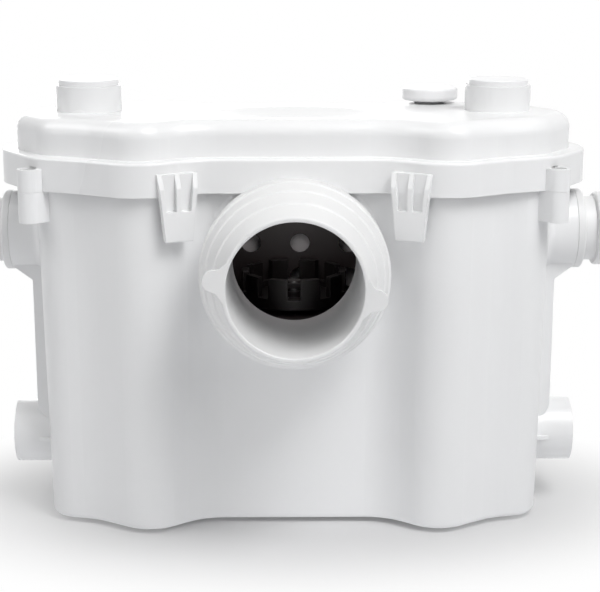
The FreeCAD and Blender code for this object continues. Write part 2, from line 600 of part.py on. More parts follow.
INNER_TUBE = "inlet_bore + sleeve_wall"
cone = turned([
    ("inlet_bore", "mouth_reach", 1), ("mouth_ring", "mouth_reach", 1.2),
    *step("third_ring", "third_reach"), *step("second_ring", "second_reach"),
    *step("first_ring", "first_reach"),
    ("first_ring", "cuff_reach", 1), ("boss_radius + fit_gap", "cuff_reach", 0),
    ("boss_radius + fit_gap", "boss_reach + fit_gap", 0),
    ("second_ring - sleeve_wall - 2", "second_reach - 2", 0),
    ("third_ring - sleeve_wall - 1", "third_reach - 2", 0),
    (INNER_TUBE, "mouth_reach - 9", 0), (INNER_TUBE, "boss_reach + 1", 0),
    ("throat_bore + sleeve_wall", "throat_reach", 0), ("throat_bore", "throat_reach", 0),
    ("inlet_bore", "boss_reach + 1", 0),
], (0, 0, "inlet_height"), TO_FRONT)
ears = []
for sign in ("", "-"):
    pull_ear = outline("EarOutline", [
        (sign + "(inlet_bore + 1)", "-ear_width * 0.95", 0),
        (sign + "(mouth_ring + 3)", "-ear_width / 2", 6),
        (sign + "ear_reach", "-ear_width / 2", "ear_width * 0.49"),
        (sign + "ear_reach", "ear_width / 2", "ear_width * 0.49"),
        (sign + "(mouth_ring + 3)", "ear_width / 2", 6),
        (sign + "(inlet_bore + 1)", "ear_width * 0.95", 0),
    ])
    solid = upright(pull_ear, 0, "ear_thick")
    turn = TO_FRONT.multiply(Rotation(Vector(0, 0, 1), -DRIVING["ear_turn"]))
    place(solid, (0, "-mouth_reach + ear_thick", "inlet_height"), turn)
    ears.append(solid)
keep("inlet_sleeve", cut(
    fuse(cone, *ears),
    rod("inlet_bore", "mouth_reach - 10", "mouth_reach + 1", ("0", "inlet_height"), TO_FRONT)))

# Side sleeves
for side, turn in (("right", TO_RIGHT), ("left", TO_LEFT)):
    keep("side_sleeve_" + side, turned([
        ("side_bore", "side_boss_reach + 1", 0), ("side_relief", "side_boss_reach + 1", 0),
        ("side_relief", "side_boss_reach - side_plug_deep", 0),
        ("side_boss_bore - fit_gap", "side_boss_reach - side_plug_deep", 1),
        ("side_boss_bore - fit_gap", "side_boss_reach", 0), ("side_boss_radius", "side_boss_reach", 0.8),
        ("side_boss_radius", "side_flange_reach", 1.5), ("side_neck_radius", "side_flange_reach", 0.6),
        ("side_neck_radius", "side_neck_reach", 0.6), ("side_lip_radius", "side_neck_reach", 2),
        ("side_lip_radius", "side_lip_reach", 2.5), ("side_bore", "side_lip_reach", 1),
    ], (0, 0, "side_height"), turn))


def inlet_flap():
    """A hanging flap: a disc, an arm and a knuckle round its pin."""
    flap_low = SEAT_FACE + " - flap_gap - flap_thick"
    flap_high = SEAT_FACE + " - flap_gap"
    disc = rod("flap_radius", flap_low, flap_high, ("0", "stub_height"), TO_RIGHT)
    arm = block((flap_low, "-knuckle_half + 2", "stub_height"),
                (flap_high, "knuckle_half - 2", HINGE_Z))
    knuckle = rod("hinge_ring", "-knuckle_half", "knuckle_half", (HINGE_X, HINGE_Z), TO_REAR)
    hole = rod("pin_radius + pin_gap", "-knuckle_half - 1", "knuckle_half + 1", (HINGE_X, HINGE_Z), TO_REAR)
    return cut(fuse(disc, arm, knuckle), hole)


flap = keep("inlet_flap_right", inlet_flap())
keep("inlet_flap_left", mirror(flap))
flap_pin = rod("pin_radius", "-hinge_half", "hinge_half", (HINGE_X, HINGE_Z), TO_REAR)
keep("flap_pins", fuse(flap_pin, mirror(flap_pin)))

# Basket: an open black box with round holes, fixed over the motor
basket_outline = outline("BasketOutline", [
    ("-basket_half", "-basket_front", "basket_round"), ("basket_half", "-basket_front", "basket_round"),
    ("basket_half", "basket_rear", "basket_round"), ("-basket_half", "basket_rear", "basket_round"),
])
basket_room = upright(inset(basket_outline, "basket_wall"), "basket_low + basket_floor", "basket_top + 1")
holes = [rod("basket_window", "basket_front - basket_wall - 1", "basket_front + 1",
             ("0", "inlet_height"), TO_FRONT)]
for row in (0, 1, 2):
    height = "hole_row + %d * hole_rise" % row
    for column in (-1, 0, 1):
        across = "hole_shift + %d * hole_pitch" % column
        holes.append(rod("hole_radius", "basket_rear - basket_wall - 1", "basket_rear + 1",
                         (across, height), TO_REAR))
    for column in (-0.5, 0.5):
        holes.append(rod("hole_radius", "-basket_half - 1", "basket_half + 1",
                         ("shaft_y + %s * hole_pitch" % column, height), TO_RIGHT))
for sign in ("", "-"):
    for column in (-1.5, -0.5, 0.5, 1.5):
        spot = (sign + "(motor_radius + 3 * floor_hole)", "shaft_y + %s * 5 * floor_hole" % column)
        holes.append(rod("floor_hole", "basket_low - 1", "basket_low + basket_floor + 1", spot))
holes.append(rod("seal_radius + 2", "basket_low - 1", "basket_low + basket_floor + 1", SHAFT))
keep("basket", cut(upright(basket_outline, "basket_low", "basket_top"), basket_room, *holes))

# Cutter: a castellated cup on the shaft's top end
cutter = turned([
    (BORE, "cutter_low", 0), ("cutter_radius", "cutter_low", 1), ("cutter_radius", "cutter_top", 0),
    ("cutter_radius - cutter_rim", "cutter_top", 0),
    ("cutter_radius - cutter_rim", "cutter_low + cutter_plate", 0),
    ("cutter_hub", "cutter_low + cutter_plate", 0), ("cutter_hub", "cutter_low + cutter_boss", 0),
    (BORE, "cutter_low + cutter_boss", 0),
], (*SHAFT, 0))
slot_sketch = draw_outline(body_sketch(cutter, "XZ_Plane", "slot"), [
    ("-cutter_slot / 2", "cutter_low + cutter_plate + 4", 0),
    ("cutter_slot / 2", "cutter_low + cutter_plate + 4", 0),
    ("cutter_slot / 2", "cutter_top + 1", 0), ("-cutter_slot / 2", "cutter_top + 1", 0),
])
slot = cutter.newObject("PartDesign::Pocket", "slot_cut")
slot.Profile = slot_sketch
slot.SideType = "Symmetric"
tie(slot, Length="2 * cutter_radius + 4")
doc.recompute()
around = cutter.newObject("PartDesign::PolarPattern", "slots")
around.Originals = [slot]
around.Axis = (slot_sketch, ["V_Axis"])
around.Angle = 180
tie(around, Occurrences="cutter_slots / 2")
cutter.Tip = around
keep("cutter", cutter)


def nut(low, high):
    """A hexagon nut on the shaft."""
    hexagon = doc.addObject("Part::Prism", "hexagon")
    hexagon.Polygon = 6
    tie(hexagon, Circumradius="nut_across * 1.7", Height="(%s) - (%s)" % (high, low))
    place(hexagon, (*SHAFT, low))
    return cut(hexagon, rod(BORE, low + " - 1", high + " + 1", SHAFT))


keep("cutter_nut", nut("cutter_low + cutter_boss", "cutter_low + cutter_boss + nut_tall"))
keep("cutter_spacer", ring(BORE, "seal_radius - 1", "basket_low + seam_gap", "cutter_low", SHAFT))

# Motor: a sealed can with bearings and seals at both ends
MOTOR_TOP = "basket_low - cover_thick"
keep("shaft", rod("shaft_radius", "shaft_low", "shaft_top", SHAFT))
keep("motor_housing", turned([
    ("seal_radius + run_gap", "motor_low", 0), ("motor_radius", "motor_low", 2),
    ("motor_radius", MOTOR_TOP, 0), ("motor_radius - motor_wall", MOTOR_TOP, 0),
    ("motor_radius - motor_wall", "motor_low + motor_floor", 0),
    ("bearing_radius + seat_wall", "motor_low + motor_floor", 0),
    ("bearing_radius + seat_wall", "motor_low + motor_floor + bearing_tall + 1", 0),
    ("bearing_radius + run_gap", "motor_low + motor_floor + bearing_tall + 1", 0),
    ("bearing_radius + run_gap", "motor_low + motor_floor", 0),
    ("seal_radius + run_gap", "motor_low + motor_floor", 0),
], (*SHAFT, 0)))
keep("motor_cover", turned([
    ("seal_radius + run_gap", MOTOR_TOP, 0), ("bearing_radius + run_gap", MOTOR_TOP, 0),
    ("bearing_radius + run_gap", MOTOR_TOP + " - bearing_tall - 1", 0),
    ("bearing_radius + seat_wall", MOTOR_TOP + " - bearing_tall - 1", 0),
    ("bearing_radius + seat_wall", MOTOR_TOP, 0), ("motor_radius", MOTOR_TOP, 0),
    ("motor_radius", "basket_low", 1), ("seal_radius + run_gap", "basket_low", 0),
], (*SHAFT, 0)))
keep("upper_bearing", ring(BORE, "bearing_radius", MOTOR_TOP + " - bearing_tall", MOTOR_TOP, SHAFT))
keep("lower_bearing", ring(BORE, "bearing_radius", "motor_low + motor_floor",
                           "motor_low + motor_floor + bearing_tall", SHAFT))
keep("upper_seal", ring(BORE, "seal_radius", MOTOR_TOP, "basket_low", SHAFT))
keep("lower_seal", ring(BORE, "seal_radius", "motor_low", "motor_low + motor_floor", SHAFT))
keep("stator", ring("stator_bore", "stator_outer", "stator_low", "stator_top", SHAFT))
coils = []
for low in ("stator_top + coil_gap", "stator_low - coil_gap - coil_thick"):
    coils.append(turned([
        ("stator_bore + 2", low, 3), ("stator_outer - 3", low, 3),
        ("stator_outer - 3", low + " + coil_thick", 3), ("stator_bore + 2", low + " + coil_thick", 3),
    ], (*SHAFT, 0)))
keep("stator_windings", fuse(*coils))
keep("rotor_core", ring(BORE, "rotor_radius", "rotor_low", "rotor_top", SHAFT))

# Pump: impeller, casing with a side nozzle, and a suction plate on three legs
impeller = turned([
    (BORE, "impeller_low", 0), ("hub_radius", "impeller_low", 0),
    ("hub_radius", "impeller_top - impeller_plate", 0),
    ("impeller_radius", "impeller_top - impeller_plate", 0), ("impeller_radius", "impeller_top", 0),
    ("hub_radius", "impeller_top", 0), ("hub_radius", "motor_low - casing_wall - 1.5", 0),
    (BORE, "motor_low - casing_wall - 1.5", 0),
], (*SHAFT, 0))
blade_sketch = draw_outline(body_sketch(impeller, "XY_Plane", "blade"), [
    ("hub_radius - 1", 0, 0), ("impeller_radius * 0.6", 0, "impeller_radius * 0.9"),
    ("impeller_radius * 0.93", "impeller_radius * 0.31", 0),
    ("impeller_radius * 0.93 - blade_thick", "impeller_radius * 0.31 + blade_thick * 0.4", 0),
    ("impeller_radius * 0.6 - blade_thick", "blade_thick", "impeller_radius * 0.8"),
    ("hub_radius - 1", "blade_thick", 0),
])
blade_sketch.setExpression("AttachmentOffset.Base.z", bind("impeller_low"))
blade = impeller.newObject("PartDesign::Pad", "blade_pad")
blade.Profile = blade_sketch
tie(blade, Length="impeller_top - impeller_low - 1")
doc.recompute()
vanes = impeller.newObject("PartDesign::PolarPattern", "vanes")
vanes.Originals = [blade]
vanes.Axis = (blade_sketch, ["N_Axis"])
vanes.Angle = 360
tie(vanes, Occurrences="blade_count")
impeller.Tip = vanes
keep("impeller", impeller)
keep("impeller_nut", nut("impeller_low - nut_tall", "impeller_low"))

nozzle = (("outlet_y", "outlet_height"), TO_LEFT)
keep("pump_casing", cut(
    fuse(rod("casing_radius", "chamber_low", "motor_low", SHAFT),
         rod("spout_radius", "casing_radius - 20", "nozzle_reach", *nozzle)),
    rod("chamber_radius", "chamber_low - 1", "chamber_top", ("0", "shaft_y + chamber_shift")),
    rod("spout_bore", "casing_radius - 25", "nozzle_reach + 1", *nozzle),
    rod("hub_radius + 1", "chamber_top - 1", "motor_low + 1", SHAFT)))
legs = []
for angle in (90, 210, 330):
    spot = ("leg_circle * cos(%d)" % angle, "shaft_y + leg_circle * sin(%d)" % angle)
    legs.append(rod("leg_radius", "tank_floor", "chamber_low - 1", spot))
keep("suction_plate", cut(
    fuse(rod("casing_radius", "chamber_low - plate_thick", "chamber_low", SHAFT), *legs),
    rod("suction_radius", "chamber_low - plate_thick - 1", "chamber_low + 1", SHAFT)))

# Discharge line: elbow, check valve and an S-bent riser up to the left lid port
bends = {}
for kind, radius in (("outer", "pipe_radius"), ("bore", "pipe_bore")):
    bend = doc.addObject("Part::Torus", "bend")
    tie(bend, Radius1="elbow_bend", Radius2=radius)
    bend.Angle3 = 90
    place(bend, ("-elbow_x + elbow_bend", "outlet_y", "outlet_height + elbow_bend"),
          Rotation(Vector(1, 0, 0), 90).multiply(Rotation(Vector(0, 0, 1), 180)))
    more = "0" if kind == "outer" else "1"
    bends[kind] = [
        bend,
        rod(radius, "nozzle_reach - " + more, "elbow_x - elbow_bend", *nozzle),
        rod(radius, "outlet_height + elbow_bend", "elbow_top + " + more, ("-elbow_x", "outlet_y")),
    ]
collar = rod("pipe_radius + 3", "nozzle_reach - 8", "nozzle_reach + 4", *nozzle)
collar_bore = rod("spout_radius + fit_gap", "nozzle_reach - 9", "nozzle_reach", *nozzle)
keep("discharge_elbow", cut(fuse(*bends["outer"], collar), *bends["bore"], collar_bore))
PIVOT = "check_radius + 4"
FLAP_LOW = "valve_seat + flap_gap"
chamber = turned([
    ("pipe_bore", "valve_low", 0), ("valve_radius", "valve_low", 1.5), ("valve_radius", "valve_top", 1.5),
    ("riser_bore", "valve_top", 0), ("riser_bore", "valve_top - 4", 0), ("valve_bore", "valve_top - 4", 0),
    ("valve_bore", "valve_low + 4", 0), ("check_radius + 1", "valve_low + 4", 0),
    ("check_radius + 1", "valve_seat", 0), ("pipe_bore", "valve_seat", 0),
], ("-elbow_x", "outlet_y", 0))
posts = [
    block(("-elbow_x + %s - 3" % PIVOT, y, "valve_low + 2"),
          ("-elbow_x + %s + 3" % PIVOT, y + " + 3", FLAP_LOW + " + 4"))
    for y in ("outlet_y + 5", "outlet_y - 8")
]
pivot_spot = ("-elbow_x + " + PIVOT, FLAP_LOW + " + check_thick / 2")
keep("check_valve_body", cut(
    fuse(chamber, *posts), rod("pin_radius", "outlet_y - 9", "outlet_y + 9", pivot_spot, TO_REAR)))
keep("check_pin", rod("pin_radius", "outlet_y - 8", "outlet_y + 8", pivot_spot, TO_REAR))
keep("check_flap", cut(
    fuse(rod("check_radius", FLAP_LOW, FLAP_LOW + " + check_thick", ("-elbow_x", "outlet_y")),
         block(("-elbow_x", "outlet_y - 4", FLAP_LOW),
               ("-elbow_x + " + PIVOT, "outlet_y + 4", FLAP_LOW + " + check_thick")),
         rod("hinge_ring - 0.8", "outlet_y - 4.5", "outlet_y + 4.5", pivot_spot, TO_REAR)),
    rod("pin_radius + pin_gap", "outlet_y - 6", "outlet_y + 6", pivot_spot, TO_REAR)))

riser = doc.addObject("PartDesign::Body", "riser")
SHIFT = "sqrt((port_x - elbow_x) ^ 2 + (outlet_y - port_y) ^ 2)"
spine = draw_outline(body_sketch(riser, "XZ_Plane", "spine"), [
    (0, "valve_top", 0), (0, "riser_start", "riser_bend"), (SHIFT, "riser_finish", "riser_bend"),
    (SHIFT, "riser_top", 0),
], closed=False)
section = body_sketch(riser, "XY_Plane", "section")
for radius in ("riser_radius", "riser_bore"):
    circle = section.addGeometry(Part.Circle(Vector(), Vector(0, 0, 1), num(radius)))
    section.addConstraint(Sketcher.Constraint("Coincident", circle, 3, -1, 1))
    bound = section.addConstraint(Sketcher.Constraint("Radius", circle, num(radius)))
    section.setExpression("Constraints[%d]" % bound, bind(radius))
section.setExpression("AttachmentOffset.Base.z", bind("valve_top"))
doc.recompute()
pipe = riser.newObject("PartDesign::AdditivePipe", "pipe")
pipe.Profile = section
pipe.Spine = (spine, [])
place(riser, ("-elbow_x", "outlet_y", 0), Rotation(Vector(0, 0, 1), 0))
tie(riser, **{"Placement.Rotation.Angle": "180 deg + atan((outlet_y - port_y) / (port_x - elbow_x))"})
keep("discharge_riser", riser)
keep("riser_seal", ring("riser_radius + run_gap", SOCKET + " - fit_gap", "riser_ring - ring_tall",
                        "riser_ring", ("-port_x", "port_y")))

# Electrics: a dry box on the rear shelf, level switch, capacitor, terminals and cable gland
box_outline = outline("BoxOutline", [
    ("box_left", "box_front", "box_round"), ("box_right", "box_front", "box_round"),
    ("box_right", "box_rear", "box_round"), ("box_left", "box_rear", "box_round"),
])
probe = ("probe_x", "probe_y")
keep("electrics_box", cut(
    upright(box_outline, "box_low", "box_top"),
    upright(inset(box_outline, "box_wall"), "box_low + box_wall", "box_top + 1"),
    rod("probe_radius + fit_gap", "box_low - 1", "box_low + box_wall + 1", probe),
    rod("gland_radius + fit_gap", "box_rear - box_wall - 1", "box_rear + 1",
        ("gland_x", "gland_height"), TO_REAR)))
keep("electrics_cover", fuse(
    upright(box_outline, "box_top", "box_top + box_cover"),
    cut(upright(inset(box_outline, "box_wall + fit_gap"), "box_top - 3", "box_top"),
        upright(inset(box_outline, "2 * box_wall"), "box_top - 4", "box_top"))))
keep("pressure_tube", cut(rod("probe_radius", "probe_low", "box_low + box_wall", probe),
                          rod("probe_bore", "probe_low - 1", "box_low + box_wall + 1", probe)))
BOX_FLOOR = "box_low + box_wall"
SWITCH_TOP = "box_low + box_wall + switch_tall"
keep("pressure_switch", turned([
    ("probe_bore", BOX_FLOOR, 0), ("switch_radius", BOX_FLOOR, 1), ("switch_radius", SWITCH_TOP, 1),
    ("plunger_radius + run_gap", SWITCH_TOP, 0), ("plunger_radius + run_gap", SWITCH_TOP + " - 3", 0),
    ("switch_radius - 2", SWITCH_TOP + " - 3", 0), ("switch_radius - 2", BOX_FLOOR + " + 2", 0),
    ("probe_bore", BOX_FLOOR + " + 2", 0),
], (*probe, 0)))
keep("switch_plunger", turned([
    (0, BOX_FLOOR + " + 4", 0), ("switch_radius - 3", BOX_FLOOR + " + 4", 0),
    ("switch_radius - 3", BOX_FLOOR + " + 6", 0), ("plunger_radius", BOX_FLOOR + " + 6", 0),
    ("plunger_radius", SWITCH_TOP + " - 4 + plunger_long", 0.8), (0, SWITCH_TOP + " - 4 + plunger_long", 0),
], (*probe, 0)))
CAN_START = "box_left + box_wall + 2"
keep("capacitor", soften(
    rod("capacitor_radius", CAN_START, CAN_START + " + capacitor_long",
        ("probe_y - 3", "box_low + box_wall + capacitor_radius"), TO_RIGHT),
    "can_round", lambda edge: len(edge.Vertexes) == 1))
keep("cable_gland", turned([
    ("gland_bore", "box_rear - box_wall - 3", 0), ("gland_radius", "box_rear - box_wall - 3", 0),
    ("gland_radius", REAR_WALL, 0), ("gland_nut", REAR_WALL, 0),
    ("gland_nut", REAR_WALL + " + gland_flange", 1),
    ("gland_radius + 1", REAR_WALL + " + gland_flange + 1", 0),
    ("gland_radius + 1", REAR_WALL + " + gland_cone", 1),
    ("gland_bore + 1.5", REAR_WALL + " + gland_long", 1), ("gland_bore", REAR_WALL + " + gland_long", 0),
], ("gland_x", 0, "gland_height"), TO_REAR))

# Checks, then one file for each sub-part
doc.recompute()
for thing in doc.Objects:
    if "Invalid" in thing.State or "Error" in thing.State:
        raise SystemExit("%s (%s) failed: %s" % (thing.Label, thing.TypeId, thing.getStatusString()))
for name, thing in pieces.items():
    if thing.Shape.isNull() or not thing.Shape.isValid():
        raise SystemExit("%s has no valid shape" % name)
os.makedirs("parts", exist_ok=True)
for name, thing in pieces.items():
    thing.Shape.exportStep("parts/%s.step" % name)
    print("%-20s %9.0f mm3 in %d" % (name, thing.Shape.Volume, len(thing.Shape.Solids)))
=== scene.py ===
"""A sewage lifting station in moulded white plastic, dressed for a photograph.

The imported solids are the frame; each section below finishes the pieces it names.
"""

import math

import bmesh
import bpy
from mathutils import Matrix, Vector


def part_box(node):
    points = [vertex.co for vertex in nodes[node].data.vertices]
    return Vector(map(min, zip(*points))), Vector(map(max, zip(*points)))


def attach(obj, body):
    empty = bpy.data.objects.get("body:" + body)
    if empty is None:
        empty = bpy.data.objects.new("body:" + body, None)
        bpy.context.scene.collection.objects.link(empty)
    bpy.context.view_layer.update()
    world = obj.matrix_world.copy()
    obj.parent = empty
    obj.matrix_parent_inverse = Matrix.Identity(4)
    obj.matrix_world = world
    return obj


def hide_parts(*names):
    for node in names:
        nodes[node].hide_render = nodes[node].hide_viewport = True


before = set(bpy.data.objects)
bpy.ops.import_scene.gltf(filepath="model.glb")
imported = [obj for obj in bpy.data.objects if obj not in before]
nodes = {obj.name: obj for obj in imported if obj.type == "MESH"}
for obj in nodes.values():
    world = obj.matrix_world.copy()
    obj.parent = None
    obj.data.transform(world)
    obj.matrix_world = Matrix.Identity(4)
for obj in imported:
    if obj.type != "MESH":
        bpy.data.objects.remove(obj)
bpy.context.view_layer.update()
scene = bpy.context.scene
scene.view_settings.view_transform = "Standard"

# Camera: a 90 mm lens a little over a metre in front of the inlet, slightly above the lid and
# a hair to the left, as the two sides of the photograph's lid show.
CAMERA_DOWN, CAMERA_RIGHT = 13.35, 0.58
camera_data = bpy.data.cameras.new("camera")
camera_data.lens = 90
camera_data.sensor_width = 36
camera = bpy.data.objects.new("camera", camera_data)
camera.location = (-0.0065, -1.104, 0.421)
camera.rotation_euler = (math.radians(90 - CAMERA_DOWN), 0, math.radians(-CAMERA_RIGHT))
scene.collection.objects.link(camera)
scene.camera = camera

# Studio: a floor painted grey round the station's base, a painted shadow pool that fades to plain
# white away from the station, and the lamps' own soft shadow falls on it too. It throws back a
# little more light than the camera sees on it, and is clear from below and to the lamp there, so
# that the feet can be looked at.
FLOOR_REACH, FLOOR_DROP = 40.0, 0.0003
# Painted shadow: the grey that the camera sees on the floor close round the base.
FLOOR_PAINTED_SHADOW = (0.56, 0.56, 0.565, 1)
BOUNCE_COLOUR = (0.67, 0.675, 0.69, 1)
FADE_START, FADE_END, FADE_STRETCH = 0.07, 0.21, 0.62


def wire(tree, *links):
    """Link sockets given as (node, output name, node, input name)."""
    for giver, out_name, taker, in_name in links:
        tree.links.new(giver.outputs[out_name], taker.inputs[in_name])


floor_mesh = bpy.data.meshes.new("studio_floor")
floor_mesh.from_pydata(
    [(x * FLOOR_REACH, y * FLOOR_REACH, -FLOOR_DROP) for x, y in ((-1, -1), (1, -1), (1, 1), (-1, 1))],
    [], [(0, 1, 2, 3)])
floor = bpy.data.objects.new("studio_floor", floor_mesh)
scene.collection.objects.link(floor)

floor_paint = bpy.data.materials.new("studio_floor")
floor_paint.use_nodes = True
tree = floor_paint.node_tree
tree.nodes.clear()
place = tree.nodes.new("ShaderNodeTexCoord")
stretch = tree.nodes.new("ShaderNodeMapping")
stretch.inputs["Scale"].default_value = (FADE_STRETCH, 1, 1)
distance = tree.nodes.new("ShaderNodeVectorMath")
distance.operation = "LENGTH"
fade = tree.nodes.new("ShaderNodeMapRange")
fade.interpolation_type = "SMOOTHSTEP"
fade.inputs["From Min"].default_value = FADE_START
fade.inputs["From Max"].default_value = FADE_END
path = tree.nodes.new("ShaderNodeLightPath")
seen = tree.nodes.new("ShaderNodeMath")
seen.operation = "MAXIMUM"
seen_far = tree.nodes.new("ShaderNodeMath")
seen_far.operation = "MULTIPLY"
matt = tree.nodes.new("ShaderNodeBsdfDiffuse")
# Camera and glossy rays see the painted shadow grey near the base, and diffuse rays see the bounce
# colour.
shade = tree.nodes.new("ShaderNodeMix")
shade.data_type = "RGBA"
shade.inputs["A"].default_value = BOUNCE_COLOUR
shade.inputs["B"].default_value = FLOOR_PAINTED_SHADOW
white = tree.nodes.new("ShaderNodeEmission")
white.inputs["Color"].default_value = (1, 1, 1, 1)
blend = tree.nodes.new("ShaderNodeMixShader")
side = tree.nodes.new("ShaderNodeNewGeometry")
lets_through = tree.nodes.new("ShaderNodeMath")
lets_through.operation = "MAXIMUM"
clear = tree.nodes.new("ShaderNodeBsdfTransparent")
from_below = tree.nodes.new("ShaderNodeMixShader")
out = tree.nodes.new("ShaderNodeOutputMaterial")
wire(tree,
     (place, "Object", stretch, "Vector"), (stretch, "Vector", distance, 0),
     (distance, "Value", fade, "Value"),
     (path, "Is Camera Ray", seen, 0), (path, "Is Glossy Ray", seen, 1),
     (fade, "Result", seen_far, 0), (seen, "Value", seen_far, 1),
     (seen, "Value", shade, "Factor"), (shade, "Result", matt, "Color"),
     (seen_far, "Value", blend, "Fac"), (matt, "BSDF", blend, 1), (white, "Emission", blend, 2),
     (side, "Backfacing", lets_through, 0), (path, "Is Shadow Ray", lets_through, 1),
     (lets_through, "Value", from_below, "Fac"), (blend, "Shader", from_below, 1),
     (clear, "BSDF", from_below, 2), (from_below, "Shader", out, "Surface"))
floor_mesh.materials.append(floor_paint)

# Light: a faint even surround, one soft lamp high in front on the right, and weaker ones in front,
# on the left, behind and underneath. They leave the hollows between the lobes and under the lid
# grey. A faint one inside stands for the light that finds its way into the basket.
SURROUND = 0.14
NEUTRAL, WARM = (1, 1, 1), (1, 0.93, 0.93)
MIDDLE = (0, 0, 0.15)
world = bpy.data.worlds.new("surround")
world.use_nodes = True
scene.world = world
tree = world.node_tree
tree.nodes.clear()
path = tree.nodes.new("ShaderNodeLightPath")
seen = tree.nodes.new("ShaderNodeMath")
seen.operation = "MAXIMUM"
level = tree.nodes.new("ShaderNodeMapRange")
level.inputs["To Min"].default_value = SURROUND
level.inputs["To Max"].default_value = 1.0
sky = tree.nodes.new("ShaderNodeBackground")
sky.inputs["Color"].default_value = (1, 1, 1, 1)
out = tree.nodes.new("ShaderNodeOutputWorld")
through = tree.nodes.new("ShaderNodeMath")
through.operation = "MAXIMUM"
wire(tree,
     (path, "Is Camera Ray", seen, 0), (path, "Is Glossy Ray", seen, 1),
     (seen, "Value", through, 0), (path, "Is Transmission Ray", through, 1),
     (through, "Value", level, "Value"), (level, "Result", sky, "Strength"),
     (sky, "Background", out, "Surface"))

for lamp_name, at, aim, size, power, tint in (
    ("right_key", (0.85, -0.85, 1.85), MIDDLE, 0.9, 24, NEUTRAL),
    ("right_front", (1.6, -1.4, 1.2), MIDDLE, 1.0, 6.5, NEUTRAL),
    ("high_front", (0.6, -1.3, 1.7), MIDDLE, 0.8, 6.5, NEUTRAL),
    ("left_high", (-1.4, -0.4, 1.6), MIDDLE, 1.0, 11, NEUTRAL),
    ("left_front", (-1.7, -1.5, 0.9), MIDDLE, 1.2, 5.5, NEUTRAL),
    ("behind", (-0.4, 2.1, 0.6), MIDDLE, 1.4, 17, NEUTRAL),
    ("underneath", (0, -0.2, -0.9), (0, 0, 0), 0.6, 2.5, NEUTRAL),
    ("basket_fill", (0, -0.05, 0.236), (0, 0.1, 0.16), 0.04, 0.021, WARM),
):
    lamp_data = bpy.data.lights.new(lamp_name, "AREA")
    lamp_data.size = size
    lamp_data.color = tint
    lamp_data.energy = power
    lamp = bpy.data.objects.new(lamp_name, lamp_data)
    lamp.visible_camera = False
    lamp.location = at
    towards = [b - a for a, b in zip(at, aim)]
    tilt = math.atan2(math.hypot(towards[0], towards[1]), -towards[2])
    heading = math.atan2(towards[1], towards[0]) - math.pi / 2
    lamp.rotation_euler = (tilt, 0, heading)
    scene.collection.objects.link(lamp)

# Tank: a white moulded shell. Moulded plastic has a fine even grain, a slight unevenness of
# gloss where the melt flowed, and edges rounded by half a millimetre.
FLOW_SCALE, GRAIN_RELIEF, EDGE_SAMPLES = 5, 0.00008, 6


def finish_group(name, *inputs):
    """A shader group for a finish: inputs of (name, kind, value), and what it puts out."""
    group = bpy.data.node_groups.new(name, "ShaderNodeTree")
    for socket_name, kind, value in inputs:
        socket = group.interface.new_socket(socket_name, in_out="INPUT", socket_type="NodeSocket" + kind)
        socket.default_value = value
    for socket_name, kind in (("Colour", "Color"), ("Roughness", "Float"), ("Normal", "Vector")):
        group.interface.new_socket(socket_name, in_out="OUTPUT", socket_type="NodeSocket" + kind)
    return group


moulded = finish_group(
    "moulded_skin",
    ("Colour", "Color", (0.8, 0.8, 0.8, 1)), ("Shade", "Color", (0.7, 0.7, 0.7, 1)),
    ("Roughness", "Float", 0.35), ("Unevenness", "Float", 0.06), ("Grain", "Float", 0.1),
    ("Grain Scale", "Float", 1800.0), ("Normal", "Vector", (0, 0, 0)))
given = moulded.nodes.new("NodeGroupInput")
result = moulded.nodes.new("NodeGroupOutput")
spot = moulded.nodes.new("ShaderNodeTexCoord")
flow = moulded.nodes.new("ShaderNodeTexNoise")
flow.inputs["Scale"].default_value = FLOW_SCALE
flow.inputs["Detail"].default_value = 1
grain = moulded.nodes.new("ShaderNodeTexNoise")
grain.inputs["Detail"].default_value = 2
tone = moulded.nodes.new("ShaderNodeMix")
tone.data_type = "RGBA"
sway = moulded.nodes.new("ShaderNodeMath")
sway.operation = "SUBTRACT"
sway.inputs[1].default_value = 0.5
swing = moulded.nodes.new("ShaderNodeMath")
swing.operation = "MULTIPLY_ADD"
relief = moulded.nodes.new("ShaderNodeBump")
relief.inputs["Distance"].default_value = GRAIN_RELIEF
wire(moulded,
     (spot, "Object", flow, "Vector"), (spot, "Object", grain, "Vector"),
     (given, "Grain Scale", grain, "Scale"), (flow, "Fac", tone, "Factor"),
     (given, "Colour", tone, "A"), (given, "Shade", tone, "B"),
     (flow, "Fac", sway, 0), (sway, "Value", swing, 0),
     (given, "Unevenness", swing, 1), (given, "Roughness", swing, 2),
     (grain, "Fac", relief, "Height"), (given, "Grain", relief, "Strength"),
     (given, "Normal", relief, "Normal"), (tone, "Result", result, "Colour"),
     (swing, "Value", result, "Roughness"), (relief, "Normal", result, "Normal"))


def coated(name, group, edge, settings):
    """A material whose colour, roughness and normal come from a finish group, with soft edges."""
    made = bpy.data.materials.new(name)
    made.use_nodes = True
    shader = made.node_tree.nodes["Principled BSDF"]
    skin = made.node_tree.nodes.new("ShaderNodeGroup")
    skin.node_tree = group
    for socket_name, value in settings.items():
        skin.inputs[socket_name].default_value = value
    rounding = made.node_tree.nodes.new("ShaderNodeBevel")
    rounding.samples = EDGE_SAMPLES
    rounding.inputs["Radius"].default_value = edge
    wire(made.node_tree,
         (rounding, "Normal", skin, "Normal"), (skin, "Colour", shader, "Base Color"),
         (skin, "Roughness", shader, "Roughness"), (skin, "Normal", shader, "Normal"))
    return made


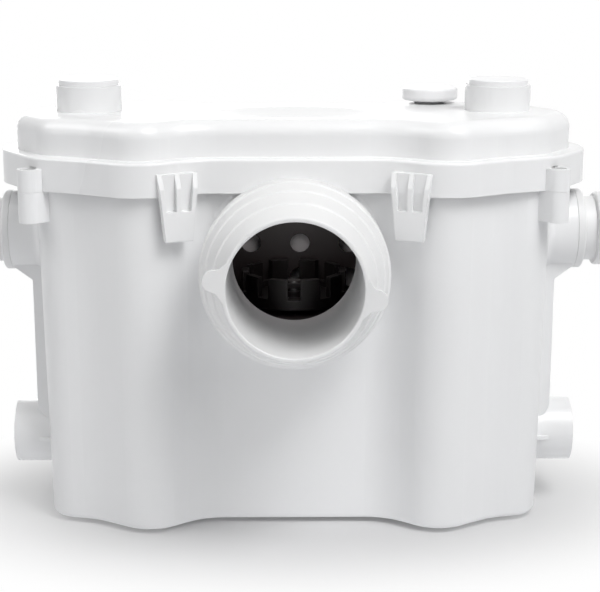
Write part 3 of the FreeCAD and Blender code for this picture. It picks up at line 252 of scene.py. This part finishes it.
def moulding(name, colour, shade, roughness, grain_scale=1800, grain_depth=0.1, edge=0.0006):
    """A moulded plastic or rubber: its colour, a slightly different flow tone, gloss and grain."""
    return coated(name, moulded, edge, {
        "Colour": (*colour, 1), "Shade": (*shade, 1), "Roughness": roughness, "Unevenness": 0.03,
        "Grain": grain_depth, "Grain Scale": grain_scale})


def finish(material, *names):
    """Give CAD pieces their material."""
    for name in names:
        mesh = nodes[name].data
        mesh.materials.clear()
        mesh.materials.append(material)


WHITE, WHITE_SHADE = (0.83, 0.832, 0.835), (0.815, 0.818, 0.823)
finish(moulding("white_moulding", WHITE, WHITE_SHADE, roughness=0.3), "tank")

# Feet: soft black rubber pads pressed into round recesses under the tank. Each is moulded with a
# rounded rim and three grooves in its tread.
rubber = moulding("black_rubber", (0.02, 0.02, 0.021), (0.03, 0.03, 0.03), roughness=0.62,
                  grain_scale=900, grain_depth=0.3)
finish(rubber, "rubber_feet", "lid_gasket", "riser_seal", "upper_seal", "lower_seal", "check_flap")


def turned_mesh(name, profile, segments=32):
    """A closed mesh turned about Z from (radius, height) points, which go round a bore if any."""
    mesh = bpy.data.meshes.new(name)
    shape = bmesh.new()
    rows = []
    for radius, height in profile:
        count = 1 if radius == 0 else segments
        rows.append([shape.verts.new((radius * math.cos(2 * math.pi * i / segments),
                                      radius * math.sin(2 * math.pi * i / segments), height))
                     for i in range(count)])
    for low, high in zip(rows, rows[1:] + (rows[:1] if profile[0][0] else [])):
        for i in range(segments):
            corners = [low[i % len(low)], low[(i + 1) % len(low)],
                       high[(i + 1) % len(high)], high[i % len(high)]]
            shape.faces.new(list(dict.fromkeys(corners)))
    bmesh.ops.recalc_face_normals(shape, faces=shape.faces)
    shape.to_mesh(mesh)
    shape.free()
    return mesh


def pattern(name, mesh):
    """An object that only serves as the pattern of what a node tree sets out."""
    made = bpy.data.objects.new(name, mesh)
    scene.collection.objects.link(made)
    return made


def points_mesh(name, points):
    """A mesh of loose points for a node tree to start from."""
    mesh = bpy.data.meshes.new(name)
    mesh.from_pydata(points, [], [])
    return mesh


def new_tree(name, *inputs):
    """An empty Geometry Nodes tree with named inputs of (name, kind, value)."""
    tree = bpy.data.node_groups.new(name, "GeometryNodeTree")
    tree.interface.new_socket("Geometry", in_out="INPUT", socket_type="NodeSocketGeometry")
    for socket_name, kind, value in inputs:
        socket = tree.interface.new_socket(socket_name, in_out="INPUT", socket_type="NodeSocket" + kind)
        if value is not None:
            socket.default_value = value
    tree.interface.new_socket("Geometry", in_out="OUTPUT", socket_type="NodeSocketGeometry")
    return tree


def node_piece(name, tree, start_mesh, settings, body, *stands_for):
    """Run a Geometry Nodes tree on a mesh, keep the result as a plain piece and let it ride."""
    holder = bpy.data.objects.new(name + "_spots", start_mesh)
    scene.collection.objects.link(holder)
    modifier = holder.modifiers.new("set_out", "NODES")
    modifier.node_group = tree
    for item in tree.interface.items_tree:
        if item.item_type == "SOCKET" and item.in_out == "INPUT" and item.name in settings:
            modifier[item.identifier] = settings[item.name]
    bpy.context.view_layer.update()
    result = holder.evaluated_get(bpy.context.evaluated_depsgraph_get())
    mesh = bpy.data.meshes.new_from_object(result)
    bpy.data.objects.remove(holder)
    mesh.name = name
    piece = bpy.data.objects.new(name, mesh)
    scene.collection.objects.link(piece)
    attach(piece, body)
    if stands_for:
        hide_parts(*stands_for)
    return piece


spread_tree = new_tree("spread_set", ("Pattern", "Object", None), ("Finish", "Material", None))
given = spread_tree.nodes.new("NodeGroupInput")
made = spread_tree.nodes.new("NodeGroupOutput")
one = spread_tree.nodes.new("GeometryNodeObjectInfo")
set_out = spread_tree.nodes.new("GeometryNodeInstanceOnPoints")
solid = spread_tree.nodes.new("GeometryNodeRealizeInstances")
coat = spread_tree.nodes.new("GeometryNodeSetMaterial")
wire(spread_tree,
     (given, "Pattern", one, "Object"), (one, "Geometry", set_out, "Instance"),
     (given, "Geometry", set_out, "Points"), (set_out, "Instances", solid, "Geometry"),
     (solid, "Geometry", coat, "Geometry"), (given, "Finish", coat, "Material"),
     (coat, "Geometry", made, "Geometry"))

FOOT_RADIUS, RIM_ROUND = 0.011, 0.0006
GROOVES, GROOVE_WIDE, GROOVE_DEEP = (0.0085, 0.006, 0.0035), 0.0008, 0.0005
feet_low, feet_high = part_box("rubber_feet")
foot_tall = feet_high[2] - feet_low[2]
tread = [(0, foot_tall), (FOOT_RADIUS, foot_tall), (FOOT_RADIUS, RIM_ROUND),
         (FOOT_RADIUS - RIM_ROUND * 0.3, RIM_ROUND * 0.3), (FOOT_RADIUS - RIM_ROUND, 0)]
for radius in GROOVES:
    tread += [(radius, 0), (radius - GROOVE_WIDE * 0.2, GROOVE_DEEP),
              (radius - GROOVE_WIDE * 0.8, GROOVE_DEEP), (radius - GROOVE_WIDE, 0)]
foot_pattern = pattern("foot", turned_mesh("foot", tread + [(0, 0)], 48))
foot_x, foot_y = feet_high[0] - FOOT_RADIUS, feet_high[1] - FOOT_RADIUS
foot_spots = [(sx * foot_x, sy * foot_y, feet_low[2]) for sx in (1, -1) for sy in (1, -1)]
foot_spots.append((0, 0, feet_low[2]))
feet = node_piece("foot_set", spread_tree, points_mesh("foot_spots", foot_spots),
                  {"Pattern": foot_pattern, "Finish": rubber}, "tank_body", "rubber_feet")
bpy.data.objects.remove(foot_pattern)

# Lid: the same white plastic as the tank, moulded in one with its port collars, vent neck, ears
# and snap tongues. Its tool is polished a little finer, so it shines a little more.
finish(moulding("white_lid", WHITE, WHITE_SHADE, roughness=0.27), "lid")

# Lid screws: four stainless pan-head screws with a cross recess, captive in the lid's ears.
# Turned and rolled metal keeps fine rings round its length, which smear its highlights.
RING_WANDER, CLOUD_SCALE, DULLING, RING_RELIEF = 1.5, 90, 0.12, 0.00005
machined = finish_group(
    "machined_metal",
    ("Colour", "Color", (0.6, 0.6, 0.6, 1)), ("Worn Colour", "Color", (0.5, 0.5, 0.5, 1)),
    ("Roughness", "Float", 0.28), ("Ring Scale", "Float", 900.0), ("Ring Depth", "Float", 0.25),
    ("Normal", "Vector", (0, 0, 0)))
given = machined.nodes.new("NodeGroupInput")
result = machined.nodes.new("NodeGroupOutput")
spot = machined.nodes.new("ShaderNodeTexCoord")
rings = machined.nodes.new("ShaderNodeTexWave")
rings.wave_type = "BANDS"
rings.bands_direction = "Z"
rings.inputs["Distortion"].default_value = RING_WANDER
cloud = machined.nodes.new("ShaderNodeTexNoise")
cloud.inputs["Scale"].default_value = CLOUD_SCALE
tone = machined.nodes.new("ShaderNodeMix")
tone.data_type = "RGBA"
gloss = machined.nodes.new("ShaderNodeMath")
gloss.operation = "MULTIPLY_ADD"
gloss.inputs[1].default_value = DULLING
relief = machined.nodes.new("ShaderNodeBump")
relief.inputs["Distance"].default_value = RING_RELIEF
wire(machined,
     (spot, "Object", rings, "Vector"), (spot, "Object", cloud, "Vector"),
     (given, "Ring Scale", rings, "Scale"), (cloud, "Fac", tone, "Factor"),
     (given, "Colour", tone, "A"), (given, "Worn Colour", tone, "B"),
     (cloud, "Fac", gloss, 0), (given, "Roughness", gloss, 2),
     (rings, "Fac", relief, "Height"), (given, "Ring Depth", relief, "Strength"),
     (given, "Normal", relief, "Normal"), (tone, "Result", result, "Colour"),
     (gloss, "Value", result, "Roughness"), (relief, "Normal", result, "Normal"))


def metal(name, colour, worn, roughness, ring_scale=900, ring_depth=0.25):
    """A bare metal: its colour, its duller tone, its gloss and the marks of its making."""
    made = coated(name, machined, 0.0003, {
        "Colour": (*colour, 1), "Worn Colour": (*worn, 1), "Roughness": roughness,
        "Ring Scale": ring_scale, "Ring Depth": ring_depth})
    made.node_tree.nodes["Principled BSDF"].inputs["Metallic"].default_value = 1
    return made


stainless = metal("stainless", (0.62, 0.61, 0.60), (0.52, 0.515, 0.51), roughness=0.24)
finish(stainless, "lid_screws")

screw_tree = new_tree("screw_set", ("Head", "Object", None), ("Core Radius", "Float", 0.0018),
                      ("Thread Radius", "Float", 0.0005), ("Turns", "Float", 16.0),
                      ("Length", "Float", 0.02), ("Size", "Float", 1.0), ("Turn Seed", "Int", 3),
                      ("Finish", "Material", None))
given = screw_tree.nodes.new("NodeGroupInput")
made = screw_tree.nodes.new("NodeGroupOutput")
head = screw_tree.nodes.new("GeometryNodeObjectInfo")
thread = screw_tree.nodes.new("GeometryNodeCurveSpiral")
thread.inputs["Resolution"].default_value = 20
ridge = screw_tree.nodes.new("GeometryNodeCurvePrimitiveCircle")
ridge.inputs["Resolution"].default_value = 4
rolled = screw_tree.nodes.new("GeometryNodeCurveToMesh")
rolled.inputs["Fill Caps"].default_value = True
core = screw_tree.nodes.new("GeometryNodeMeshCylinder")
core.inputs["Vertices"].default_value = 20
half = screw_tree.nodes.new("ShaderNodeMath")
half.operation = "MULTIPLY"
half.inputs[1].default_value = -0.5
below = screw_tree.nodes.new("ShaderNodeCombineXYZ")
drop = screw_tree.nodes.new("ShaderNodeMath")
drop.operation = "MULTIPLY"
drop.inputs[1].default_value = -1.0
lowest = screw_tree.nodes.new("ShaderNodeCombineXYZ")
lower_core = screw_tree.nodes.new("GeometryNodeTransform")
lower_thread = screw_tree.nodes.new("GeometryNodeTransform")
join = screw_tree.nodes.new("GeometryNodeJoinGeometry")
set_out = screw_tree.nodes.new("GeometryNodeInstanceOnPoints")
spin = screw_tree.nodes.new("FunctionNodeRandomValue")
spin.data_type = "FLOAT_VECTOR"
spin.inputs["Min"].default_value = (0, 0, 0)
spin.inputs["Max"].default_value = (0, 0, math.pi / 2)
solid = screw_tree.nodes.new("GeometryNodeRealizeInstances")
coat = screw_tree.nodes.new("GeometryNodeSetMaterial")
wire(screw_tree,
     (given, "Head", head, "Object"), (given, "Turns", thread, "Rotations"),
     (given, "Core Radius", thread, "Start Radius"), (given, "Core Radius", thread, "End Radius"),
     (given, "Length", thread, "Height"), (given, "Thread Radius", ridge, "Radius"),
     (thread, "Curve", rolled, "Curve"), (ridge, "Curve", rolled, "Profile Curve"),
     (given, "Core Radius", core, "Radius"), (given, "Length", core, "Depth"),
     (given, "Length", half, 0), (half, "Value", below, "Z"),
     (given, "Length", drop, 0), (drop, "Value", lowest, "Z"),
     (core, "Mesh", lower_core, "Geometry"), (below, "Vector", lower_core, "Translation"),
     (rolled, "Mesh", lower_thread, "Geometry"), (lowest, "Vector", lower_thread, "Translation"),
     (head, "Geometry", join, "Geometry"), (lower_core, "Geometry", join, "Geometry"),
     (lower_thread, "Geometry", join, "Geometry"), (join, "Geometry", set_out, "Instance"),
     (given, "Geometry", set_out, "Points"), (given, "Size", set_out, "Scale"),
     (given, "Turn Seed", spin, "Seed"), (spin, "Value", set_out, "Rotation"),
     (set_out, "Instances", solid, "Geometry"), (solid, "Geometry", coat, "Geometry"),
     (given, "Finish", coat, "Material"), (coat, "Geometry", made, "Geometry"))

HEAD_RADIUS, HEAD_TALL = 0.0046, 0.0034
HEAD_PROFILE = ((0, 1), (0.45, 0.98), (0.75, 0.86), (0.93, 0.62), (1, 0.32), (0.97, 0.0294),
                (0.9, 0), (0, 0))
RECESS_WIDE, RECESS_LONG, RECESS_DEEP, RECESS_TAPER = 0.0011, 0.0056, 0.0016, 0.55
SHANK_LONG, SHANK_TURNS = 0.0235, 22.0
CORE_RADIUS, THREAD_RADIUS = 0.0017, 0.0004
screw_head = turned_mesh("screw_head", [(HEAD_RADIUS * across, HEAD_TALL * up)
                                        for across, up in HEAD_PROFILE])
head_pattern = pattern("screw_head", screw_head)
recess_mesh = bpy.data.meshes.new("cross_recess")
recess = bmesh.new()
for wide, long in ((RECESS_WIDE, RECESS_LONG), (RECESS_LONG, RECESS_WIDE)):
    for corner in bmesh.ops.create_cube(recess, size=1)["verts"]:
        taper = 1 if corner.co.z > 0 else RECESS_TAPER
        corner.co = (corner.co.x * wide * taper, corner.co.y * long * taper,
                     HEAD_TALL - RECESS_DEEP + (corner.co.z + 0.5) * 2 * RECESS_DEEP)
recess.to_mesh(recess_mesh)
recess.free()
recess_pattern = pattern("cross_recess", recess_mesh)
bite = head_pattern.modifiers.new("recess", "BOOLEAN")
bite.operation = "DIFFERENCE"
bite.solver = "EXACT"
bite.use_self = True
bite.object = recess_pattern
bpy.context.view_layer.update()
cut_head = bpy.data.meshes.new_from_object(
    head_pattern.evaluated_get(bpy.context.evaluated_depsgraph_get()))
head_pattern.modifiers.clear()
head_pattern.data = cut_head
bpy.data.objects.remove(recess_pattern)

screw_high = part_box("lid_screws")[1]
seat = screw_high[2] - HEAD_TALL
spots = [(sx * (screw_high[0] - HEAD_RADIUS), sy * (screw_high[1] - HEAD_RADIUS), seat)
         for sx in (1, -1) for sy in (1, -1)]
screws = node_piece("lid_screw_set", screw_tree, points_mesh("lid_screw_spots", spots),
                    {"Head": head_pattern, "Core Radius": CORE_RADIUS, "Thread Radius": THREAD_RADIUS,
                     "Turns": SHANK_TURNS, "Length": SHANK_LONG, "Finish": stainless},
                    "lid_body", "lid_screws")

# Caps: loose plugs in the lid's two ports and a mushroom cap over the vent, in a white plastic
# moulded apart from the lid, so a shade paler and duller. They pull off by hand.
CAP_WHITE, CAP_SHADE = (0.84, 0.84, 0.845), (0.81, 0.81, 0.82)
finish(moulding("white_caps", CAP_WHITE, CAP_SHADE, roughness=0.33),
       "port_cap_right", "port_cap_left", "vent_cap")

# Sleeves: the ringed cone in front and the two cuffs at the sides, in white rubber that is softer
# in its gloss than the plastic round it. They are stretched over the bosses and the pipes.
RUBBER_WHITE, RUBBER_SHADE = (0.79, 0.79, 0.79), (0.775, 0.777, 0.78)
finish(moulding("white_rubber", RUBBER_WHITE, RUBBER_SHADE, roughness=0.45,
                grain_scale=1400, grain_depth=0.16, edge=0.0004),
       "inlet_sleeve", "side_sleeve_right", "side_sleeve_left")

# Vent filter: a ring of open-celled foam charged with carbon, seated under the vent's neck. Its
# cells are a few tenths of a millimetre across and swallow most of the light.
CELL_SCALE, CELL_DEPTH, CELL_STRENGTH = 900, 0.0006, 0.9
foam = moulding("carbon_foam", (0.016, 0.016, 0.017), (0.035, 0.035, 0.037), roughness=0.9, edge=0.0004)
cells = foam.node_tree.nodes.new("ShaderNodeTexVoronoi")
cells.inputs["Scale"].default_value = CELL_SCALE
spot = foam.node_tree.nodes.new("ShaderNodeTexCoord")
pits = foam.node_tree.nodes.new("ShaderNodeBump")
pits.inputs["Distance"].default_value = CELL_DEPTH
pits.inputs["Strength"].default_value = CELL_STRENGTH
wire(foam.node_tree,
     (spot, "Object", cells, "Vector"), (cells, "Distance", pits, "Height"),
     (pits, "Normal", foam.node_tree.nodes["Principled BSDF"], "Normal"))
finish(foam, "vent_filter")

# Basket: an open box of brown-black moulded plastic with round holes, seen through the inlet's
# mouth. It holds back whatever the cutter has not yet broken up.
BASKET_BLACK, BASKET_SHADE = (0.024, 0.0185, 0.0185), (0.029, 0.023, 0.023)
finish(moulding("black_moulding", BASKET_BLACK, BASKET_SHADE, roughness=0.42), "basket")

# Cutter: a castellated cup of hardened steel, blackened in the bath with its nut and spacer, so
# only its ground rim and the corners of its teeth catch the light.
blackened = moulding("blackened_steel", (0.017, 0.015, 0.015), (0.022, 0.02, 0.02), roughness=0.38,
                     grain_scale=700, grain_depth=0.2, edge=0.0008)
blackened.node_tree.nodes["Principled BSDF"].inputs["Metallic"].default_value = 0.35
finish(blackened, "cutter", "cutter_nut", "cutter_spacer")

# Pump and switch: the casing, impeller and suction plate under the motor, and the level switch,
# all of black moulded plastic with the fine spark-eroded texture that such small housings have.
textured = moulding("black_textured", (0.014, 0.014, 0.015), (0.021, 0.021, 0.022), roughness=0.5,
                    grain_scale=1100, grain_depth=0.35)
finish(textured, "pump_casing", "suction_plate", "impeller", "pressure_switch", "cable_gland")

# Cable gland: a hexagon drawn up against the rear wall and a clamping nut with grip ribs, in the
# same black plastic. It stands empty, ready for a lead.
ring_tree = new_tree("ring_set", ("Pattern", "Object", None), ("Count", "Int", 16),
                     ("Radius", "Float", 0.01), ("Turn", "Vector", (0, 0, 0)),
                     ("Place", "Vector", (0, 0, 0)), ("Finish", "Material", None))
given = ring_tree.nodes.new("NodeGroupInput")
made = ring_tree.nodes.new("NodeGroupOutput")
one = ring_tree.nodes.new("GeometryNodeObjectInfo")
circle = ring_tree.nodes.new("GeometryNodeMeshCircle")
where = ring_tree.nodes.new("GeometryNodeInputPosition")
outwards = ring_tree.nodes.new("FunctionNodeAlignRotationToVector")
outwards.axis = "X"
outwards.pivot_axis = "Z"
set_out = ring_tree.nodes.new("GeometryNodeInstanceOnPoints")
join = ring_tree.nodes.new("GeometryNodeJoinGeometry")
turn = ring_tree.nodes.new("GeometryNodeTransform")
solid = ring_tree.nodes.new("GeometryNodeRealizeInstances")
coat = ring_tree.nodes.new("GeometryNodeSetMaterial")
wire(ring_tree,
     (given, "Pattern", one, "Object"), (one, "Geometry", set_out, "Instance"),
     (given, "Count", circle, "Vertices"), (given, "Radius", circle, "Radius"),
     (circle, "Mesh", set_out, "Points"), (where, "Position", outwards, "Vector"),
     (outwards, "Rotation", set_out, "Rotation"), (given, "Geometry", join, "Geometry"),
     (set_out, "Instances", join, "Geometry"), (join, "Geometry", turn, "Geometry"),
     (given, "Turn", turn, "Rotation"), (given, "Place", turn, "Translation"),
     (turn, "Geometry", solid, "Geometry"), (solid, "Geometry", coat, "Geometry"),
     (given, "Finish", coat, "Material"), (coat, "Geometry", made, "Geometry"))

GLAND_OUT, GLAND_SIDES = 0.018, 48
HEX_RADIUS, HEX_TALL, HEX_EDGE = 0.012, 0.005, 0.0006
BARREL_RADIUS, LEAD_RADIUS, LEAD_STOP = 0.009, 0.004, 0.0155
NUT_RADIUS, NUT_GAP, NUT_TOP = 0.0094, 0.0004, 0.0126
NUT_CROWN = ((0.0089, 0.0141), (0.0076, 0.0157), (0.0062, 0.0171), (0.0055, 0.0178),
             (0.0050, GLAND_OUT), (0.0045, 0.0177), (0.0042, 0.0168))
RIB_COUNT, RIB_LOW, RIB_TOP = 20, 0.0062, 0.0124
RIB_WIDE, RIB_PROUD, RIB_EDGE = 0.0012, 0.0006, 0.00025
gland_low, gland_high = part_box("cable_gland")
gland_wall = gland_high[1] - GLAND_OUT
gland_inside = gland_low[1] - gland_wall
barrel = turned_mesh("gland_barrel", [
    (LEAD_RADIUS, gland_inside), (BARREL_RADIUS, gland_inside), (BARREL_RADIUS, HEX_TALL),
    (NUT_RADIUS, HEX_TALL + NUT_GAP), (NUT_RADIUS, NUT_TOP), *NUT_CROWN,
    (LEAD_RADIUS, LEAD_STOP)], GLAND_SIDES)
hexagon = turned_mesh("gland_hexagon", [
    (BARREL_RADIUS, 0), (HEX_RADIUS, 0), (HEX_RADIUS, HEX_TALL - HEX_EDGE),
    (HEX_RADIUS - HEX_EDGE, HEX_TALL), (BARREL_RADIUS, HEX_TALL)], 6)
gland_body = bmesh.new()
gland_body.from_mesh(barrel)
gland_body.from_mesh(hexagon)
gland_body.to_mesh(barrel)
gland_body.free()
rib_mesh = bpy.data.meshes.new("grip_rib")
rib = bmesh.new()
for corner in bmesh.ops.create_cube(rib, size=1)["verts"]:
    corner.co = (corner.co.x * 2 * RIB_PROUD, corner.co.y * RIB_WIDE,
                 RIB_LOW + (corner.co.z + 0.5) * (RIB_TOP - RIB_LOW))
bmesh.ops.bevel(rib, geom=rib.edges[:], offset=RIB_EDGE, segments=2, affect="EDGES")
rib.to_mesh(rib_mesh)
rib.free()
rib_pattern = pattern("grip_rib", rib_mesh)
gland = node_piece("ribbed_gland", ring_tree, barrel,
                   {"Pattern": rib_pattern, "Count": RIB_COUNT, "Radius": NUT_RADIUS,
                    "Turn": (-math.pi / 2, 0, 0),
                    "Place": ((gland_low[0] + gland_high[0]) / 2, gland_wall,
                              (gland_low[2] + gland_high[2]) / 2),
                    "Finish": textured}, "tank_body", "cable_gland")
bpy.data.objects.remove(rib_pattern)

# Pipes, flaps and electrics box: grey plastic, moulded with a satin face. The pipes push into
# rubber seals, and the flaps hang on steel pins behind the lower stubs.
GREY, GREY_SHADE = (0.30, 0.31, 0.32), (0.265, 0.275, 0.285)
finish(moulding("grey_moulding", GREY, GREY_SHADE, roughness=0.42),
       "discharge_elbow", "check_valve_body", "discharge_riser", "electrics_box", "electrics_cover",
       "pressure_tube", "switch_plunger", "inlet_flap_right", "inlet_flap_left")

# Cover screws: four small stainless ones of the same kind hold the electrics box's lid down. Only
# two turns of their thread are made, because the rest would be out of sight in the box.
COVER_EDGE = 0.007
COVER_SIZE, COVER_TURNS, COVER_LONG, COVER_SEED = 0.72, 2.0, 0.002, 8
cover_low, cover_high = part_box("electrics_cover")
spots = [(x, y, cover_high[2]) for x in (cover_low[0] + COVER_EDGE, cover_high[0] - COVER_EDGE)
         for y in (cover_low[1] + COVER_EDGE, cover_high[1] - COVER_EDGE)]
cover_screws = node_piece("cover_screw_set", screw_tree, points_mesh("cover_screw_spots", spots),
                          {"Head": head_pattern, "Core Radius": CORE_RADIUS,
                           "Thread Radius": THREAD_RADIUS, "Turns": COVER_TURNS,
                           "Length": COVER_LONG, "Size": COVER_SIZE, "Turn Seed": COVER_SEED,
                           "Finish": stainless}, "tank_body")
bpy.data.objects.remove(head_pattern)

# Motor: a cast can and cover under baked grey-black paint. Castings keep a slight orange peel
# through the paint, so the normal rolls over a millimetre or two.
painted = moulding("motor_paint", (0.055, 0.06, 0.066), (0.045, 0.05, 0.056), roughness=0.33,
                   grain_scale=420, grain_depth=0.5, edge=0.0009)
finish(painted, "motor_housing", "motor_cover")

# Shaft, nuts, pins and bearings: stainless steel, turned from bar and left bare. The shaft runs in
# the two bearings and carries the cutter above the motor and the impeller below it.
finish(stainless, "flap_pins", "shaft", "upper_bearing",
       "lower_bearing", "impeller_nut", "check_pin")

# Stator and rotor: stacks of punched electrical sheet, blued on their cut edges. The stator's
# sheets have 24 slots that open towards the rotor.
stack_tree = new_tree("sheet_stack", ("Sheet", "Object", None), ("Sheets", "Int", 36),
                      ("Pitch", "Vector", (0, 0, 0.0015)), ("Place", "Vector", (0, 0, 0)),
                      ("Finish", "Material", None))
given = stack_tree.nodes.new("NodeGroupInput")
made = stack_tree.nodes.new("NodeGroupOutput")
one = stack_tree.nodes.new("GeometryNodeObjectInfo")
line = stack_tree.nodes.new("GeometryNodeMeshLine")
set_out = stack_tree.nodes.new("GeometryNodeInstanceOnPoints")
solid = stack_tree.nodes.new("GeometryNodeRealizeInstances")
coat = stack_tree.nodes.new("GeometryNodeSetMaterial")
wire(stack_tree,
     (given, "Sheet", one, "Object"), (one, "Geometry", set_out, "Instance"),
     (given, "Sheets", line, "Count"), (given, "Place", line, "Start Location"),
     (given, "Pitch", line, "Offset"), (line, "Mesh", set_out, "Points"),
     (set_out, "Instances", solid, "Geometry"), (solid, "Geometry", coat, "Geometry"),
     (given, "Finish", coat, "Material"), (coat, "Geometry", made, "Geometry"))

lamination = metal("lamination", (0.23, 0.235, 0.25), (0.17, 0.175, 0.19), roughness=0.36,
                   ring_scale=620, ring_depth=0.9)
finish(lamination, "stator", "rotor_core")
stator_low, stator_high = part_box("stator")
SLOTS, SHEETS, SHEET_SHARE = 24, 36, 0.9
MOUTH_STEP, POCKET_STEP, TOOTH_STEP = 2.3, 4.4, 180 / SLOTS
SLOT_STEPS = (-TOOTH_STEP, -POCKET_STEP, -MOUTH_STEP, MOUTH_STEP, POCKET_STEP)
SLOT_RADII = (0.0246, 0.026, 0.0355, (stator_high[0] - stator_low[0]) / 2)
sheet_pitch = (stator_high[2] - stator_low[2]) / SHEETS
motor_axis = ((stator_low[0] + stator_high[0]) / 2, (stator_low[1] + stator_high[1]) / 2)
angles = [math.radians(slot * 360 / SLOTS + step) for slot in range(SLOTS) for step in SLOT_STEPS]
sheet_mesh = bpy.data.meshes.new("stator_sheet")
sheet = bmesh.new()
rows = [[sheet.verts.new((radius * math.cos(angle), radius * math.sin(angle), 0)) for angle in angles]
        for radius in SLOT_RADII]
for ring, half_open in enumerate((MOUTH_STEP, POCKET_STEP, 0)):
    for i in range(len(angles)):
        nearest = SLOT_STEPS[i % len(SLOT_STEPS)]
        if -half_open <= nearest < half_open:
            continue
        following = (i + 1) % len(angles)
        sheet.faces.new((rows[ring][i], rows[ring + 1][i],
                         rows[ring + 1][following], rows[ring][following]))
thick = bmesh.ops.extrude_face_region(sheet, geom=sheet.faces[:])
bmesh.ops.translate(sheet, vec=(0, 0, sheet_pitch * SHEET_SHARE),
                    verts=[item for item in thick["geom"] if isinstance(item, bmesh.types.BMVert)])
loose = [corner for corner in sheet.verts if not corner.link_faces]
bmesh.ops.delete(sheet, geom=loose, context="VERTS")
bmesh.ops.recalc_face_normals(sheet, faces=sheet.faces)
sheet.to_mesh(sheet_mesh)
sheet.free()
sheet_pattern = pattern("stator_sheet", sheet_mesh)
stack = node_piece("stator_stack", stack_tree, points_mesh("stack_start", []),
                   {"Sheet": sheet_pattern, "Sheets": SHEETS, "Pitch": (0, 0, sheet_pitch),
                    "Place": (*motor_axis, stator_low[2] + sheet_pitch * (1 - SHEET_SHARE) / 2),
                    "Finish": lamination}, "tank_body", "stator")
bpy.data.objects.remove(sheet_pattern)

# Windings: 24 coils of enamelled copper wire. Each lies low in one slot, rises over the end of
# the stack and comes down high in the slot five further on, and its two ends arch alike.
copper = metal("copper_winding", (0.60, 0.24, 0.11), (0.48, 0.17, 0.07), roughness=0.26,
               ring_scale=460, ring_depth=1.0)
finish(copper, "stator_windings")
COIL_RADIUS, COIL_SPAN = 0.0017, 5 * 360 / SLOTS
ARCH_STEPS, ARCH_FULLNESS, ARCH_CLEAR = 10, 0.6, 0.001
ARCH_RADII = (0.0285, 0.0332, 0.0375, 0.0325)
wound_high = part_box("stator_windings")[1]
arch_low = stator_high[2] + ARCH_CLEAR
arch_high = wound_high[2] - COIL_RADIUS
middle = (arch_low + stator_low[2] - ARCH_CLEAR) / 2


def arch_point(share):
    """A point of a coil's end, from its inner leg at 0 to its outer leg at 1."""
    along = share * 2 if share < 0.5 else share * 2 - 1
    first, last = ARCH_RADII[:2] if share < 0.5 else ARCH_RADII[2:]
    radius = first + (last - first) * along
    angle = math.radians(COIL_SPAN * share)
    height = arch_low + (arch_high - arch_low) * (1 - abs(2 * share - 1)) ** ARCH_FULLNESS
    return radius, angle, height


coil_path = [arch_point(step / ARCH_STEPS) for step in range(ARCH_STEPS + 1)]
coil_path += [(radius, angle, 2 * middle - height) for radius, angle, height in reversed(coil_path)]
coil_curve = bpy.data.curves.new("coil", "CURVE")
coil_curve.dimensions = "3D"
coil_curve.bevel_depth = COIL_RADIUS
coil_curve.bevel_resolution = 2
run = coil_curve.splines.new("POLY")
run.points.add(len(coil_path) - 1)
for point, (radius, angle, height) in zip(run.points, coil_path):
    point.co = (radius * math.cos(angle) - ARCH_RADII[0], radius * math.sin(angle), height, 1)
run.use_cyclic_u = True
coil_line = pattern("coil_line", coil_curve)
bpy.context.view_layer.update()
coil_pattern = pattern("coil", bpy.data.meshes.new_from_object(
    coil_line.evaluated_get(bpy.context.evaluated_depsgraph_get())))
bpy.data.objects.remove(coil_line)
windings = node_piece("winding_coils", ring_tree, points_mesh("coil_start", []),
                      {"Pattern": coil_pattern, "Count": SLOTS, "Radius": ARCH_RADII[0],
                       "Place": (*motor_axis, 0), "Finish": copper},
                      "tank_body", "stator_windings")
bpy.data.objects.remove(coil_pattern)

# Capacitor: a can drawn from aluminium sheet, with its marks running round it. It lies in the
# electrics box beside the switch and feeds the motor's second winding.
finish(metal("drawn_can", (0.78, 0.78, 0.79), (0.70, 0.70, 0.71), roughness=0.3,
             ring_scale=300, ring_depth=0.1), "capacitor")
